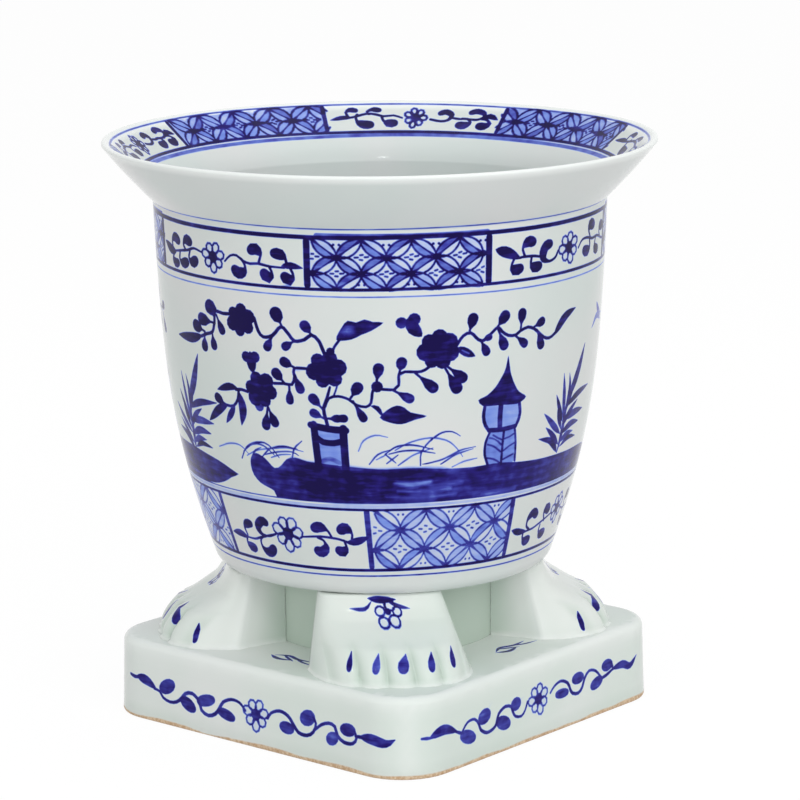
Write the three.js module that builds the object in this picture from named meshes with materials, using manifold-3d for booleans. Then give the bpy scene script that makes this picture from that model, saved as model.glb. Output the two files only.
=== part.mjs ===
// A two-piece glazed earthenware jardiniere: a deep round bowl with a flared rim,
// standing on a square plinth with a lion's paw at each corner and a collar in the middle.
// Millimetres, +Z up, origin on the floor under the middle of the plinth.
// The plinth's sides run along X and Y, so the paws point along the diagonals.

import * as THREE from 'three';
import { mergeVertices } from 'three/addons/utils/BufferGeometryUtils.js';
import Module from 'manifold-3d';

// ---- driving dimensions -------------------------------------------------------------

// the stand
const standHeight = 100; // floor to the flat seat under the bowl
const plinthHeight = 52;
const plinthHalfSide = 133; // middle to the foot of a side
const plinthCorner = 36; // radius of a corner, seen from above
const plinthDraft = 1.4; // how far a side leans in, foot to shoulder
const plinthShoulder = 5; // rounding of the top edge
const plinthFootRound = 1.2; // rounding of the bottom edge
const plinthWall = 10; // wall under the plinth
const plinthTop = 10; // thickness of the top slab
const ventRadius = 42; // opening in the slab, under the collar

// the collar that takes the bowl's foot
const collarRadius = 75;
const collarWall = 7.5;
const luteGap = 0.3; // joint between a paw and the collar

// the paws
const pawReach = 148; // middle of the stand to the tip of the middle toe
const pawAnkleReach = 103; // middle of the stand to the front of the ankle
const pawWidestAt = 97; // how far out the foot is widest
const pawAnkleWidestAt = 87;
const pawHalfWidth = 50.5;
const pawAnkleHalfWidth = 38.5;
const pawHeelAt = 56; // the heel runs in to here before the collar cuts it
const pawHeelHalfWidth = 33;
const toeCount = 5;
const toePitch = 17;
const toeGroove = 3.2; // depth of the grooves between toes
const toeHeight = 20; // toes stand this high, below the instep
const instepHeight = 33; // top of the sloping instep
const instepReach = 111;
const knuckleReach = 136.5;
const toeRound = 1.9; // how late the toes' fronts fall back to the knuckles
const instepHollow = 0.85; // below 1 the instep dips
const ankleHollow = 1.7; // above 1 the ankle curves out into the instep
const footSquareness = 2.6; // 2 is an ellipse, more is boxier
const ankleSquareness = 4.2;
const frontPawShear = -0.11; // this paw is set a little askew on its corner
const frontPawLean = -4; // and its ankle leans this far over
const pawRings = 14;
const frontSteps = 32; // outline steps across the toes
const flankSteps = 5; // outline steps along each flank

// the bowl
const bowlHeight = 276; // seat to the top of the lip
const rimRadius = 178;
const creaseRadius = 146; // where the wall meets the flare
const creaseDrop = 37.5; // the crease is this far under the lip
const baseRadius = 111; // foot of the wall
const baseRound = 9; // rounding between wall and underside
const baseLean = 2; // the wall already leans this much across that rounding
const bellyLow = { out: 0.805, up: 0.355 }; // pull of the wall's curve at its foot
const bellyHigh = { out: 0.113, up: 0.44 }; // and at the crease
const flareBend = { out: 12, up: 20 }; // the flare's curve, from the crease towards the lip
const rimFaceOut = 4.5; // inner end of the rim's top face, outside the crease
const rimFaceDrop = 20.3; // and under the lip
const throatUp = 9.5; // the throat curves from the rim's top face into the wall
const throatOut = 2.6;
const bowlWall = 8;
const bowlFloor = 9;
const innerCorner = 16; // rounding between inner wall and floor
const lipRound = 1.9;
const footClearance = 7.5; // between the bowl's foot ring and the collar's bore
const footWidth = 8;
const footDepth = 6;
const footDraft = 1; // each side of the ring leans this far
const drainRadius = 12.5;

const roundSteps = 80; // facets round the turned pieces
const plinthCornerSteps = 8;

// ---- values that follow -------------------------------------------------------------

const collarHeight = standHeight - plinthHeight;
const pawHeight = standHeight - plinthHeight;
const collarBore = collarRadius - collarWall;
const rimTop = standHeight + bowlHeight;
const creaseHeight = rimTop - creaseDrop;
const footRadius = collarBore - footClearance; // ring under the bowl, inside the collar

const wasm = await Module();
wasm.setup();

// ---- finishes -----------------------------------------------------------------------

const glaze = (name, color) => new THREE.MeshStandardMaterial({ name, color, roughness: 0.18, metalness: 0 });
const bowlGlaze = glaze('bowl_glaze', '#d9dddb');
const standGlaze = glaze('stand_glaze', '#ccd4cd');

// ---- shape helpers ------------------------------------------------------------------

const point = (x, y) => new THREE.Vector2(x, y);

/** Points along a curve, without its first one, so that curves can be chained. */
function along(curve, steps) {
  return curve.getPoints(steps).slice(1);
}

/** A curve's points moved sideways by a distance, to the left of its direction. */
function beside(curve, distance, steps) {
  const points = [];
  for (let i = 0; i <= steps; i++) {
    const at = curve.getPoint(i / steps);
    const heading = curve.getTangent(i / steps);
    points.push(point(at.x - heading.y * distance, at.y + heading.x * distance));
  }
  return points;
}

/** A closed outline of (radius, height) points turned about the upright axis. */
function turned(outline) {
  const geometry = new THREE.LatheGeometry([...outline, outline[0]], roundSteps);
  geometry.rotateX(Math.PI / 2);
  return closed(geometry);
}

/** A closed mesh with one vertex at each place. */
function closed(geometry) {
  geometry.deleteAttribute('normal');
  geometry.deleteAttribute('uv');
  return mergeVertices(geometry, 1e-4);
}

/** Skin over rings of points, all with the same count. Each ring runs anticlockwise from above. */
function loft(rings, joinsUp) {
  const count = rings[0].length;
  const positions = rings.flat().flatMap((p) => [p.x, p.y, p.z]);
  const faces = [];
  const bands = joinsUp ? rings.length : rings.length - 1;
  for (let r = 0; r < bands; r++) {
    const low = r * count;
    const high = ((r + 1) % rings.length) * count;
    for (let i = 0; i < count; i++) {
      const next = (i + 1) % count;
      faces.push(low + i, low + next, high + next);
      faces.push(low + i, high + next, high + i);
    }
  }
  if (!joinsUp) {
    const flatFace = (ring) => THREE.ShapeUtils.triangulateShape(ring.map((p) => point(p.x, p.y)), []);
    const last = (rings.length - 1) * count;
    for (const [a, b, c] of flatFace(rings[0])) faces.push(c, b, a);
    for (const [a, b, c] of flatFace(rings[rings.length - 1])) faces.push(last + a, last + b, last + c);
  }
  const geometry = new THREE.BufferGeometry();
  geometry.setAttribute('position', new THREE.Float32BufferAttribute(positions, 3));
  geometry.setIndex(faces);
  return geometry;
}

/** A closed geometry as a solid that can be cut. */
function solid(geometry) {
  const merged = mergeVertices(geometry, 1e-4);
  const vertProperties = new Float32Array(merged.attributes.position.array);
  const triVerts = new Uint32Array(merged.index.array);
  return new wasm.Manifold(new wasm.Mesh({ numProp: 3, vertProperties, triVerts }));
}

/** A cut solid as a geometry again. */
function fromSolid(shape) {
  const mesh = shape.getMesh();
  const geometry = new THREE.BufferGeometry();
  geometry.setAttribute('position', new THREE.Float32BufferAttribute(mesh.vertProperties, 3));
  geometry.setIndex([...mesh.triVerts]);
  return geometry;
}

function named(name, geometry, material) {
  geometry.computeVertexNormals();
  const mesh = new THREE.Mesh(geometry, material);
  mesh.name = name;
  return mesh;
}

// ---- the bowl -----------------------------------------------------------------------

function bowl() {
  const seat = standHeight;
  const wallFoot = point(baseRadius, seat + baseRound);
  const crease = point(creaseRadius, creaseHeight);
  const spread = creaseRadius - baseRadius;
  const rise = crease.y - wallFoot.y;
  const wall = new THREE.CubicBezierCurve(
    wallFoot,
    point(wallFoot.x + spread * bellyLow.out, wallFoot.y + rise * bellyLow.up),
    point(crease.x - spread * bellyHigh.out, crease.y - rise * bellyHigh.up),
    crease,
  );
  const lipSide = point(rimRadius, rimTop - lipRound);
  const flare = new THREE.QuadraticBezierCurve(
    crease,
    point(rimRadius - flareBend.out, creaseHeight + flareBend.up),
    lipSide,
  );
  const lipTop = point(rimRadius - lipRound, rimTop);
  const lip = new THREE.QuadraticBezierCurve(lipSide, point(rimRadius, rimTop), lipTop);
  const lipInner = point(rimRadius - lipRound * 2.2, rimTop - lipRound * 0.35);
  const rimInner = point(creaseRadius + rimFaceOut, rimTop - rimFaceDrop);
  const inside = beside(wall, bowlWall, 9).slice(1).reverse();
  const throat = new THREE.QuadraticBezierCurve(
    rimInner,
    point(inside[0].x + throatOut, inside[0].y + throatUp),
    inside[0],
  );
  const floorTop = seat + bowlFloor;
  const upright = inside.filter((p) => p.y > floorTop + innerCorner);
  const lastUpright = upright[upright.length - 1];
  const innerFoot = baseRadius - bowlWall;
  const corner = new THREE.QuadraticBezierCurve(
    lastUpright,
    point(innerFoot, floorTop),
    point(innerFoot - innerCorner, floorTop),
  );
  const seatEdge = point(baseRadius - baseRound - baseLean, seat);
  const baseEdge = new THREE.QuadraticBezierCurve(seatEdge, point(baseRadius - baseLean, seat), wallFoot);
  const outline = [
    point(drainRadius, seat),
    point(footRadius - footWidth, seat),
    point(footRadius - footWidth + footDraft, seat - footDepth),
    point(footRadius - footDraft, seat - footDepth),
    point(footRadius, seat),
    seatEdge,
    ...along(baseEdge, 4),
    ...along(wall, 11),
    ...along(flare, 5),
    ...along(lip, 3),
    lipInner,
    rimInner,
    ...along(throat, 4),
    ...upright.slice(1),
    ...along(corner, 4),
    point(drainRadius, floorTop),
  ];
  return named('bowl', turned(outline), bowlGlaze);
}

// ---- the plinth ---------------------------------------------------------------------

/** A square ring with round corners at one height, starting in the middle of a corner. */
function roundedSquare(halfSide, cornerRadius, height) {
  const ring = [];
  const centre = halfSide - cornerRadius;
  for (let quarter = 0; quarter < 4; quarter++) {
    for (let step = 0; step <= plinthCornerSteps; step++) {
      const angle = (quarter + step / plinthCornerSteps) * (Math.PI / 2);
      const across = Math.sign(Math.cos((quarter + 0.5) * (Math.PI / 2)));
      const away = Math.sign(Math.sin((quarter + 0.5) * (Math.PI / 2)));
      ring.push(new THREE.Vector3(
        across * centre + cornerRadius * Math.cos(angle),
        away * centre + cornerRadius * Math.sin(angle),
        height,
      ));
    }
  }
  return ring;
}

/** A round ring with as many points as a rounded square has, in step with its corners. */
function circleRing(radius, height) {
  const count = 4 * (plinthCornerSteps + 1);
  const ring = [];
  for (let i = 0; i < count; i++) {
    const angle = Math.PI / 4 + ((i - plinthCornerSteps / 2) / count) * 2 * Math.PI;
    ring.push(new THREE.Vector3(radius * Math.cos(angle), radius * Math.sin(angle), height));
  }
  return ring;
}

function plinth() {
  const outer = (inset, height) => roundedSquare(plinthHalfSide - inset, plinthCorner - inset, height);
  const innerInset = plinthWall + plinthDraft;
  const ceiling = plinthHeight - plinthTop;
  const rings = [
    outer(plinthFootRound, 0),
    outer(0, plinthFootRound),
    outer(plinthDraft, plinthHeight - plinthShoulder),
  ];
  for (const turn of [1, 2, 3]) {
    const angle = (turn / 3) * (Math.PI / 2);
    rings.push(outer(
      plinthDraft + plinthShoulder * (1 - Math.cos(angle)),
      plinthHeight - plinthShoulder * (1 - Math.sin(angle)),
    ));
  }
  rings.push(circleRing(ventRadius, plinthHeight));
  rings.push(circleRing(ventRadius, ceiling));
  rings.push(outer(innerInset + plinthShoulder, ceiling));
  rings.push(outer(innerInset, ceiling - plinthShoulder));
  rings.push(outer(plinthWall, 0));
  return named('plinth', loft(rings, true), standGlaze);
}

// ---- the collar ---------------------------------------------------------------------

function collar() {
  const outline = [
    point(collarBore, plinthHeight),
    point(collarRadius, plinthHeight),
    point(collarRadius, plinthHeight + collarHeight),
    point(collarBore, plinthHeight + collarHeight),
  ];
  return named('collar', turned(outline), standGlaze);
}

// ---- the paws -----------------------------------------------------------------------

/** Smooth step from 0 to 1 while value runs from start to end. */
function ease(value, start, end) {
  return THREE.MathUtils.smoothstep(value, start, end);
}

/** How far out the front of the paw stands at a height: toes, knuckles, instep, ankle. */
function frontReach(height) {
  const toes = pawReach - (pawReach - knuckleReach) * Math.pow(height / toeHeight, toeRound);
  if (height <= toeHeight) return toes;
  if (height <= instepHeight) {
    const part = (height - toeHeight) / (instepHeight - toeHeight);
    return THREE.MathUtils.lerp(knuckleReach, instepReach, Math.pow(part, instepHollow));
  }
  const part = (height - instepHeight) / (pawHeight - instepHeight);
  return THREE.MathUtils.lerp(instepReach, pawAnkleReach, 1 - Math.pow(1 - part, ankleHollow));
}

/** Outline of the paw at one height: x runs outwards from the stand, y across the paw. */
function pawRing(height, shear, lean) {
  const part = height / pawHeight;
  const halfWidth = THREE.MathUtils.lerp(pawHalfWidth, pawAnkleHalfWidth, part);
  const widestAt = THREE.MathUtils.lerp(pawWidestAt, pawAnkleWidestAt, part);
  const reach = frontReach(height);
  const upAnkle = ease(height, toeHeight, pawHeight);
  const squareness = THREE.MathUtils.lerp(footSquareness, ankleSquareness, upAnkle);
  const grooveNow = toeGroove * ease(height, -6, 4) * (1 - ease(height, toeHeight * 0.7, toeHeight * 1.35));
  const toeSpan = (toeCount * toePitch) / 2;
  const outline = [];
  for (let i = 0; i <= frontSteps; i++) {
    const turn = (i / frontSteps - 0.5) * Math.PI;
    const across = halfWidth * Math.sign(turn) * Math.pow(Math.abs(Math.sin(turn)), 0.92);
    const aside = Math.min(1, Math.abs(across) / halfWidth);
    const bulge = Math.pow(1 - Math.pow(aside, squareness), 1 / squareness);
    const ridge = Math.abs(Math.cos((Math.PI * across) / toePitch));
    const onToes = 1 - ease(Math.abs(across), toeSpan - 4, toeSpan + 3);
    const groove = grooveNow * onToes * Math.pow(1 - ridge, 1.4);
    outline.push([widestAt + (reach - widestAt) * bulge - groove, across]);
  }
  const heel = [];
  for (let i = 1; i <= flankSteps; i++) {
    const back = i / flankSteps;
    const across = THREE.MathUtils.lerp(halfWidth, pawHeelHalfWidth, 1 - Math.pow(1 - back, 1.6));
    heel.push([THREE.MathUtils.lerp(widestAt, pawHeelAt, back), across]);
  }
  for (const [out, across] of heel) outline.push([out, across]);
  for (const [out, across] of heel.reverse()) outline.push([out, -across]);
  const slide = (out) => shear * (pawReach - out) + lean * part;
  return outline.map(([out, across]) => new THREE.Vector3(out, across + slide(out), plinthHeight + height));
}

/** One paw, luted to the collar and to the top of the plinth. */
function paw(name, cornerAngle, shear, lean) {
  const rings = [];
  for (let i = 0; i < pawRings; i++) {
    rings.push(pawRing(pawHeight * (i / (pawRings - 1)), shear, lean));
  }
  const clear = collarRadius + luteGap;
  const cutter = new THREE.CylinderGeometry(clear, clear, standHeight * 2, roundSteps);
  cutter.rotateX(Math.PI / 2);
  const trimmed = solid(loft(rings, false)).subtract(solid(closed(cutter)));
  const mesh = named(name, fromSolid(trimmed), standGlaze);
  mesh.rotation.z = cornerAngle;
  return mesh;
}

const corner = Math.PI / 4;
const object = new THREE.Group();
object.add(bowl());
object.add(plinth());
object.add(collar());
object.add(paw('paw_front_right', -corner, frontPawShear, frontPawLean));
object.add(paw('paw_back_right', corner, 0, 0));
object.add(paw('paw_back_left', 3 * corner, 0, 0));
object.add(paw('paw_front_left', -3 * corner, 0, 0));

export default object;
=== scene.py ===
"""A two-piece glazed jardiniere: a deep round bowl painted in cobalt on a lion-paw stand.

Sizes are in millimetres while a shape is worked out and become metres in the mesh. The painting
is laid out on flat sheets, one for each painted surface, and its outlines are cut into the skin,
so that the cobalt is carried by the points of the mesh itself.
"""
from __future__ import annotations

import sys
import logging
import math
from dataclasses import dataclass, field, replace
from enum import Enum
from typing import Callable, Sequence

import bmesh
import bpy
import numpy as np
from mathutils import Matrix, Vector, kdtree
from mathutils.geometry import delaunay_2d_cdt


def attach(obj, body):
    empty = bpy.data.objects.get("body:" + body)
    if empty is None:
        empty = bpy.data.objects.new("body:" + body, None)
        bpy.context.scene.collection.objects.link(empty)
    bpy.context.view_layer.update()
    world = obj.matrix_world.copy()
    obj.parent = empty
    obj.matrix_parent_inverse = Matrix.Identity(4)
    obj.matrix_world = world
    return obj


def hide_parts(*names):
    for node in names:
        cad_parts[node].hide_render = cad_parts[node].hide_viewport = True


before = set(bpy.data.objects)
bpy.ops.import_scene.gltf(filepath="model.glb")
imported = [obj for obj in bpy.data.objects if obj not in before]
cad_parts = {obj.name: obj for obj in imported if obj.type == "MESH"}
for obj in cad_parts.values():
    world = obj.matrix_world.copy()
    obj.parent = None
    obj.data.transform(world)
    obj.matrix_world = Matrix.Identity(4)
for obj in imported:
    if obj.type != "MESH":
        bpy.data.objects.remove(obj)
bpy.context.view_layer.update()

log = logging.getLogger("jardiniere")

MM = 0.001
SHEET_RADIUS = 140.0  # the wall's sheet is unrolled at this radius
SHEET_TURN = 2.0 * math.pi * SHEET_RADIUS
CAMERA_TURN = math.radians(-49.5)  # the sheets' zero faces the camera, at this angle from +X
COLUMNS = 144  # facets round the turned surfaces
EDGE = 0.36  # a brush mark fades over this much on either side of its edge
FILLER = 6.0  # spacing of the points between the marks

Spot = tuple[float, float]
Place = tuple[float, float, float]
Points = Sequence[Spot]
Border = Callable[[float], float]
Surface = Callable[[np.ndarray], np.ndarray]


# ---- curves on a sheet ----------------------------------------------------------------


def smooth(points: Points, step: float = 2.6, closed: bool = False) -> np.ndarray:
    """A soft curve through points.

    Args:
        points: the places that it passes through.
        step: about how far apart its own points are.
        closed: whether it returns to its start.

    Returns:
        The curve's points, (n, 2).
    """
    p = np.asarray(points, float)
    if len(p) == 2 and not closed:
        count = max(1, int(round(np.linalg.norm(p[1] - p[0]) / (2 * step))))
        return p[0] + np.linspace(0, 1, count + 1)[:, None] * (p[1] - p[0])
    if closed:
        p = np.vstack([p[-1], p, p[0], p[1]])
    else:
        p = np.vstack([2 * p[0] - p[1], p, 2 * p[-1] - p[-2]])
    pieces = []
    for a, b, c, d in zip(p[:-3], p[1:-2], p[2:-1], p[3:]):
        count = max(1, int(round(np.linalg.norm(c - b) / step)))
        t = (np.arange(count) / count)[:, None]
        square, cube = 2 * a - 5 * b + 4 * c - d, 3 * b - a - 3 * c + d
        pieces.append(0.5 * (2 * b + (c - a) * t + square * t**2 + cube * t**3))
    if not closed:
        pieces.append(p[-2][None])
    return np.vstack(pieces)


def headings(path: np.ndarray) -> np.ndarray:
    """The unit direction of a path at each of its points."""
    way = np.gradient(path, axis=0) if len(path) > 1 else np.zeros_like(path)
    return way / np.maximum(np.linalg.norm(way, axis=1, keepdims=True), 1e-9)


def mitred(path: np.ndarray) -> np.ndarray:
    """How far to move each point of a closed path for its edges to move one unit to their left.

    Args:
        path: the closed path, (n, 2).

    Returns:
        The offset of each point, (n, 2).
    """
    before, after = path - np.roll(path, 1, 0), np.roll(path, -1, 0) - path
    before /= np.maximum(np.linalg.norm(before, axis=1, keepdims=True), 1e-9)
    after /= np.maximum(np.linalg.norm(after, axis=1, keepdims=True), 1e-9)
    left = np.stack([-before[:, 1] - after[:, 1], before[:, 0] + after[:, 0]], 1)
    size = np.maximum(np.linalg.norm(left, axis=1, keepdims=True), 0.7)
    return 2 * left / size**2


def thinned(line: np.ndarray, closed: bool) -> np.ndarray:
    """A line without the points that it hardly needs, where it runs almost straight.

    Args:
        line: its points, (n, 2).
        closed: whether it returns to its start.

    Returns:
        The points that stay.
    """
    for _ in range(3):
        before, after = np.roll(line, 1, 0), np.roll(line, -1, 0)
        chord, way = after - before, line - before
        size = np.maximum(np.linalg.norm(chord, axis=1), 1e-9)
        gap = np.abs(chord[:, 0] * way[:, 1] - chord[:, 1] * way[:, 0]) / size
        spare = (gap < 0.07) & (size < 10.0)
        spare[::2] = False
        if not closed:
            spare[-1] = False
        if len(line) - spare.sum() < 5:
            break
        line = line[~spare]
    return line


def fade(value: np.ndarray, low: float, high: float) -> np.ndarray:
    """Smooth step from 0 at low to 1 at high."""
    t = np.clip((value - low) / (high - low), 0, 1)
    return t * t * (3 - 2 * t)


# ---- brush marks ----------------------------------------------------------------------


@dataclass
class Mark:
    """One touch of the brush on a sheet: a stroke along a path, or a filled outline."""

    path: np.ndarray
    load: float  # how much cobalt it leaves, below zero where it takes some away
    half: np.ndarray | None = None  # half widths along the path, none for a filled outline
    closed: bool = False  # a stroke that comes back to its start
    edge: float = EDGE
    cut: bool = True  # whether its edges are cut into the skin; a wash under pen lines needs none

    def moved(self, shift: float) -> "Mark":
        """The same mark further along the sheet."""
        return replace(self, path=self.path + np.array([shift, 0.0]))

    def reach(self) -> tuple[np.ndarray, np.ndarray]:
        """The lowest and highest corner of what it covers."""
        out = self.edge + (0.0 if self.half is None else float(self.half.max()))
        return self.path.min(0) - out, self.path.max(0) + out

    def contours(self) -> list[tuple[np.ndarray, bool]]:
        """The lines to cut into the skin, each with whether it closes."""
        if not self.cut:
            return []
        if self.half is None or self.closed:
            side = mitred(self.path)
            out = side * (self.edge if self.half is None else (self.half + self.edge)[:, None])
            lines = [(self.path + out, True), (self.path - out, True)]
            if self.half is not None:
                lines.append((self.path, True))
        elif self.half.max() > self.edge + 0.35:
            lines = [(self._around(self.edge), True), (self._around(-self.edge), True)]
        else:
            lines = [(self._around(self.edge), True), (self.path, False)]
        return [(thinned(line, closes), closes) for line, closes in lines]

    def _around(self, grow: float) -> np.ndarray:
        """The outline of an open stroke, grown by a distance."""
        way = headings(self.path)
        side = np.stack([-way[:, 1], way[:, 0]], 1)
        steps = np.maximum(np.linalg.norm(np.diff(self.path, axis=0), axis=1), 1e-6)
        slope = np.gradient(self.half, np.concatenate([[0.0], np.cumsum(steps)]))[:, None]
        slope = np.clip(slope, -0.92, 0.92)
        wide = np.maximum(self.half + grow, 0.02)[:, None]
        level, lean = side * np.sqrt(1 - slope**2) * wide, way * slope * wide
        start, end = self.path[:1], self.path[-1:]
        ring = [self.path + level - lean]
        ring += [end + side[-1:] * wide[-1] * c + way[-1:] * wide[-1] * s for c, s in self._cap(wide[-1, 0])]
        ring.append((self.path - level - lean)[::-1])
        ring += [start - side[:1] * wide[0] * c - way[:1] * wide[0] * s for c, s in self._cap(wide[0, 0])]
        return np.vstack(ring)

    @staticmethod
    def _cap(radius: float) -> list[Spot]:
        """Cosine and sine of the places on a round end."""
        count = 1 if radius < 0.7 else 3 if radius < 1.8 else 5 if radius < 2.6 else 7
        return [(math.cos(a), math.sin(a)) for a in np.linspace(0, math.pi, count + 2)[1:-1]]

    def cover(self, places: np.ndarray) -> np.ndarray:
        """How fully the mark covers each place, 0 to 1."""
        return fade(self.depth(places), -self.edge, self.edge)

    def depth(self, places: np.ndarray) -> np.ndarray:
        """How far each place lies inside the mark's edge, below zero outside it."""
        a = self.path
        b = np.roll(a, -1, 0) if (self.half is None or self.closed) else a[1:]
        if self.half is not None and not self.closed:
            a = a[:-1]
        along = b - a
        size = np.maximum((along**2).sum(1), 1e-9)
        t = np.clip(((places[:, None, :] - a) * along).sum(2) / size, 0, 1)
        gap = np.linalg.norm(places[:, None, :] - a - t[:, :, None] * along, axis=2)
        if self.half is not None:
            h0 = self.half if self.closed else self.half[:-1]
            h1 = np.roll(self.half, -1) if self.closed else self.half[1:]
            return (h0 + t * (h1 - h0) - gap).max(1)
        return np.where(within(places, a), gap.min(1), -gap.min(1))


def stroke(points: Points, width: float, load: float = 0.95, taper: Spot = (1.0, 1.0)) -> Mark:
    """A drawn line.

    Args:
        points: the places that it passes through.
        width: its full width.
        load: how much cobalt it leaves.
        taper: the share of the width left at its start and its end.

    Returns:
        The mark.
    """
    path = smooth(points)
    if len(path) < 3:
        path = path[0] + np.linspace(0, 1, 3)[:, None] * (path[-1] - path[0])
    t = np.linspace(0, 1, len(path))
    start, end = taper
    shape = np.minimum(start + (1 - start) * t / 0.35, end + (1 - end) * (1 - t) / 0.35)
    return Mark(path, load, 0.5 * width * np.clip(shape, 0.05, 1))


def ring_stroke(points: Points, width: float, load: float = 0.95) -> Mark:
    """A drawn line that comes back to its start."""
    path = smooth(points, 2.2, True)
    return Mark(path, load, np.full(len(path), 0.5 * width), True)


def area(points: Points, load: float, step: float = 3.0) -> Mark:
    """A filled shape with a soft outline through points."""
    return Mark(smooth(points, step, True), load)


def leaf(points: Points, width: float, load: float = 0.95, widest: float = 0.45) -> Mark:
    """A pointed leaf along a few points, widest at a share of its length.

    Args:
        points: the places along its rib.
        width: its full width.
        load: how much cobalt it leaves.
        widest: where it is widest, as a share of its length.

    Returns:
        The mark.
    """
    path = smooth(points, 2.4)
    if len(path) < 5:
        path = path[0] + np.linspace(0, 1, 5)[:, None] * (path[-1] - path[0])
    t = np.linspace(0, 1, len(path))
    bent = np.where(t < widest, 0.5 * t / widest, 0.5 + 0.5 * (t - widest) / (1 - widest))
    return Mark(path, load, 0.5 * width * np.maximum(np.sin(math.pi * bent), 0.04) ** 0.8)


def bud(head: Spot, joint: Spot, radius: float, load: float = 0.95) -> Mark:
    """A round-headed leaflet on a thin stalk.

    Args:
        head: where its head ends.
        joint: where its stalk meets the stem.
        radius: of its head.
        load: how much cobalt it leaves.

    Returns:
        The mark.
    """
    head_at, joint_at = np.array(head, float), np.array(joint, float)
    t = np.array([0, 0.35, 0.6, 0.8, 1.0])
    radius *= 1.14
    half = np.array([0.75, 0.8, 0.6 + 0.4 * radius, 0.92 * radius, radius])
    way = (head_at - joint_at) / max(float(np.linalg.norm(head_at - joint_at)), 1e-6)
    end = head_at + way * 0.05 * radius
    return Mark(joint_at + t[:, None] * (end - joint_at), load, np.maximum(half, 0.4))


def curl(points: Points, radius: float, load: float = 0.96, tail: float = 0.85) -> Mark:
    """A curled leaf: a fat head at the first point that runs out into a thin tail.

    Args:
        points: its way, from the head to the tail.
        radius: of its head.
        load: how much cobalt it leaves.
        tail: half the width of its tail.

    Returns:
        The mark.
    """
    path = smooth(points, 1.4)
    t = np.linspace(0, 1, len(path))
    half = tail + (radius - tail) * (1 - fade(t, 0.22, 0.66))
    half[0] *= 0.86
    return Mark(path, load, half)


def oval(ends: tuple[float, float, float, float], width: float, load: float = 0.92) -> Mark:
    """A long dab between two places, given as x, y and x, y.

    Args:
        ends: the two places.
        width: its full width.
        load: how much cobalt it leaves.

    Returns:
        The mark.
    """
    t = np.linspace(0, 1, 6)[:, None]
    start, end = np.array(ends[:2], float), np.array(ends[2:], float)
    way = (end - start) / max(float(np.linalg.norm(end - start)), 1e-6)
    inner = 0.36 * width
    path = start + way * inner + t * (end - start - 2 * way * inner)
    half = 0.5 * width * np.array([0.74, 0.94, 1.0, 1.0, 0.92, 0.7])
    return Mark(path, load, half)


def disc(centre: Spot, radius: float, load: float = 0.95, squash: float = 1.0) -> Mark:
    """A round dab.

    Args:
        centre: its middle.
        radius: its radius.
        load: how much cobalt it leaves.
        squash: its height as a share of its width.

    Returns:
        The mark.
    """
    count = 7 if radius < 1.4 else 11
    turn = np.arange(count) * 2 * math.pi / count
    ring = np.stack([np.cos(turn), np.sin(turn) * squash], 1) * radius
    return Mark(np.array(centre) + ring, load)


class Panel(Enum):
    """What fills a panel of a painted band."""

    SCROLL = 0
    LATTICE = 1


class Corner(Enum):
    """A corner of the stand, by its direction from +X in eighths of a turn."""

    FRONT_RIGHT = -1
    BACK_RIGHT = 1
    BACK_LEFT = 3
    FRONT_LEFT = -3


# ---- motifs ---------------------------------------------------------------------------


def open_flower(centre: Spot, radius: float, petals: int = 7, turn: float = 0.0,
                pen: float = 1.5, heart: float = 0.27, load: float = 0.95) -> list[Mark]:
    """A flower drawn in outline with a pale wash inside and a dark heart.

    Args:
        centre: its middle on the sheet.
        radius: to the tips of its petals.
        petals: how many it has.
        turn: its turn, in radians.
        pen: width of its outline.
        heart: radius of its heart, as a share.
        load: how much cobalt its outline carries.

    Returns:
        Its marks.
    """
    middle = np.array(centre, float)
    marks = [disc(centre, heart * radius, load)]
    for k in range(petals):
        a = turn + k * 2 * math.pi / petals
        long = radius * (0.97 + 0.07 * math.sin(2.7 * k + turn))
        way = np.array([math.cos(a), math.sin(a)])
        side = np.array([-way[1], way[0]])
        wide = (0.345 * (7 / petals) ** 0.6) * radius - 0.5 * pen
        turns = [0.25 * math.pi * step for step in range(8)]
        far = 0.4 * long - 0.5 * pen
        mid = long - 0.5 * pen - far
        ring = [tuple(middle + way * (mid + far * math.cos(b)) + side * wide * math.sin(b)) for b in turns]
        marks.append(ring_stroke(ring, pen, load))
        marks.append(Mark(smooth(ring, 3, True), 0.1, cut=False))
    return marks


def dark_flower(centre: Spot, radius: float, lobes: int, turn: float) -> list[Mark]:
    """A flower laid on in full cobalt: round lobes about a solid middle.

    Args:
        centre: its middle on the sheet.
        radius: to the tips of its lobes.
        lobes: how many it has.
        turn: its turn, in radians.

    Returns:
        Its marks.
    """
    marks = [disc(centre, 0.76 * radius, 1.0)]
    for k in range(lobes):
        a = turn + k * 2 * math.pi / lobes
        size = radius * (0.41 + 0.06 * math.sin(2.3 * k + 1))
        at = (centre[0] + 0.63 * radius * math.cos(a), centre[1] + 0.63 * radius * math.sin(a))
        marks.append(disc(at, size, 0.95 + 0.05 * math.sin(3.1 * k)))
    return marks


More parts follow.
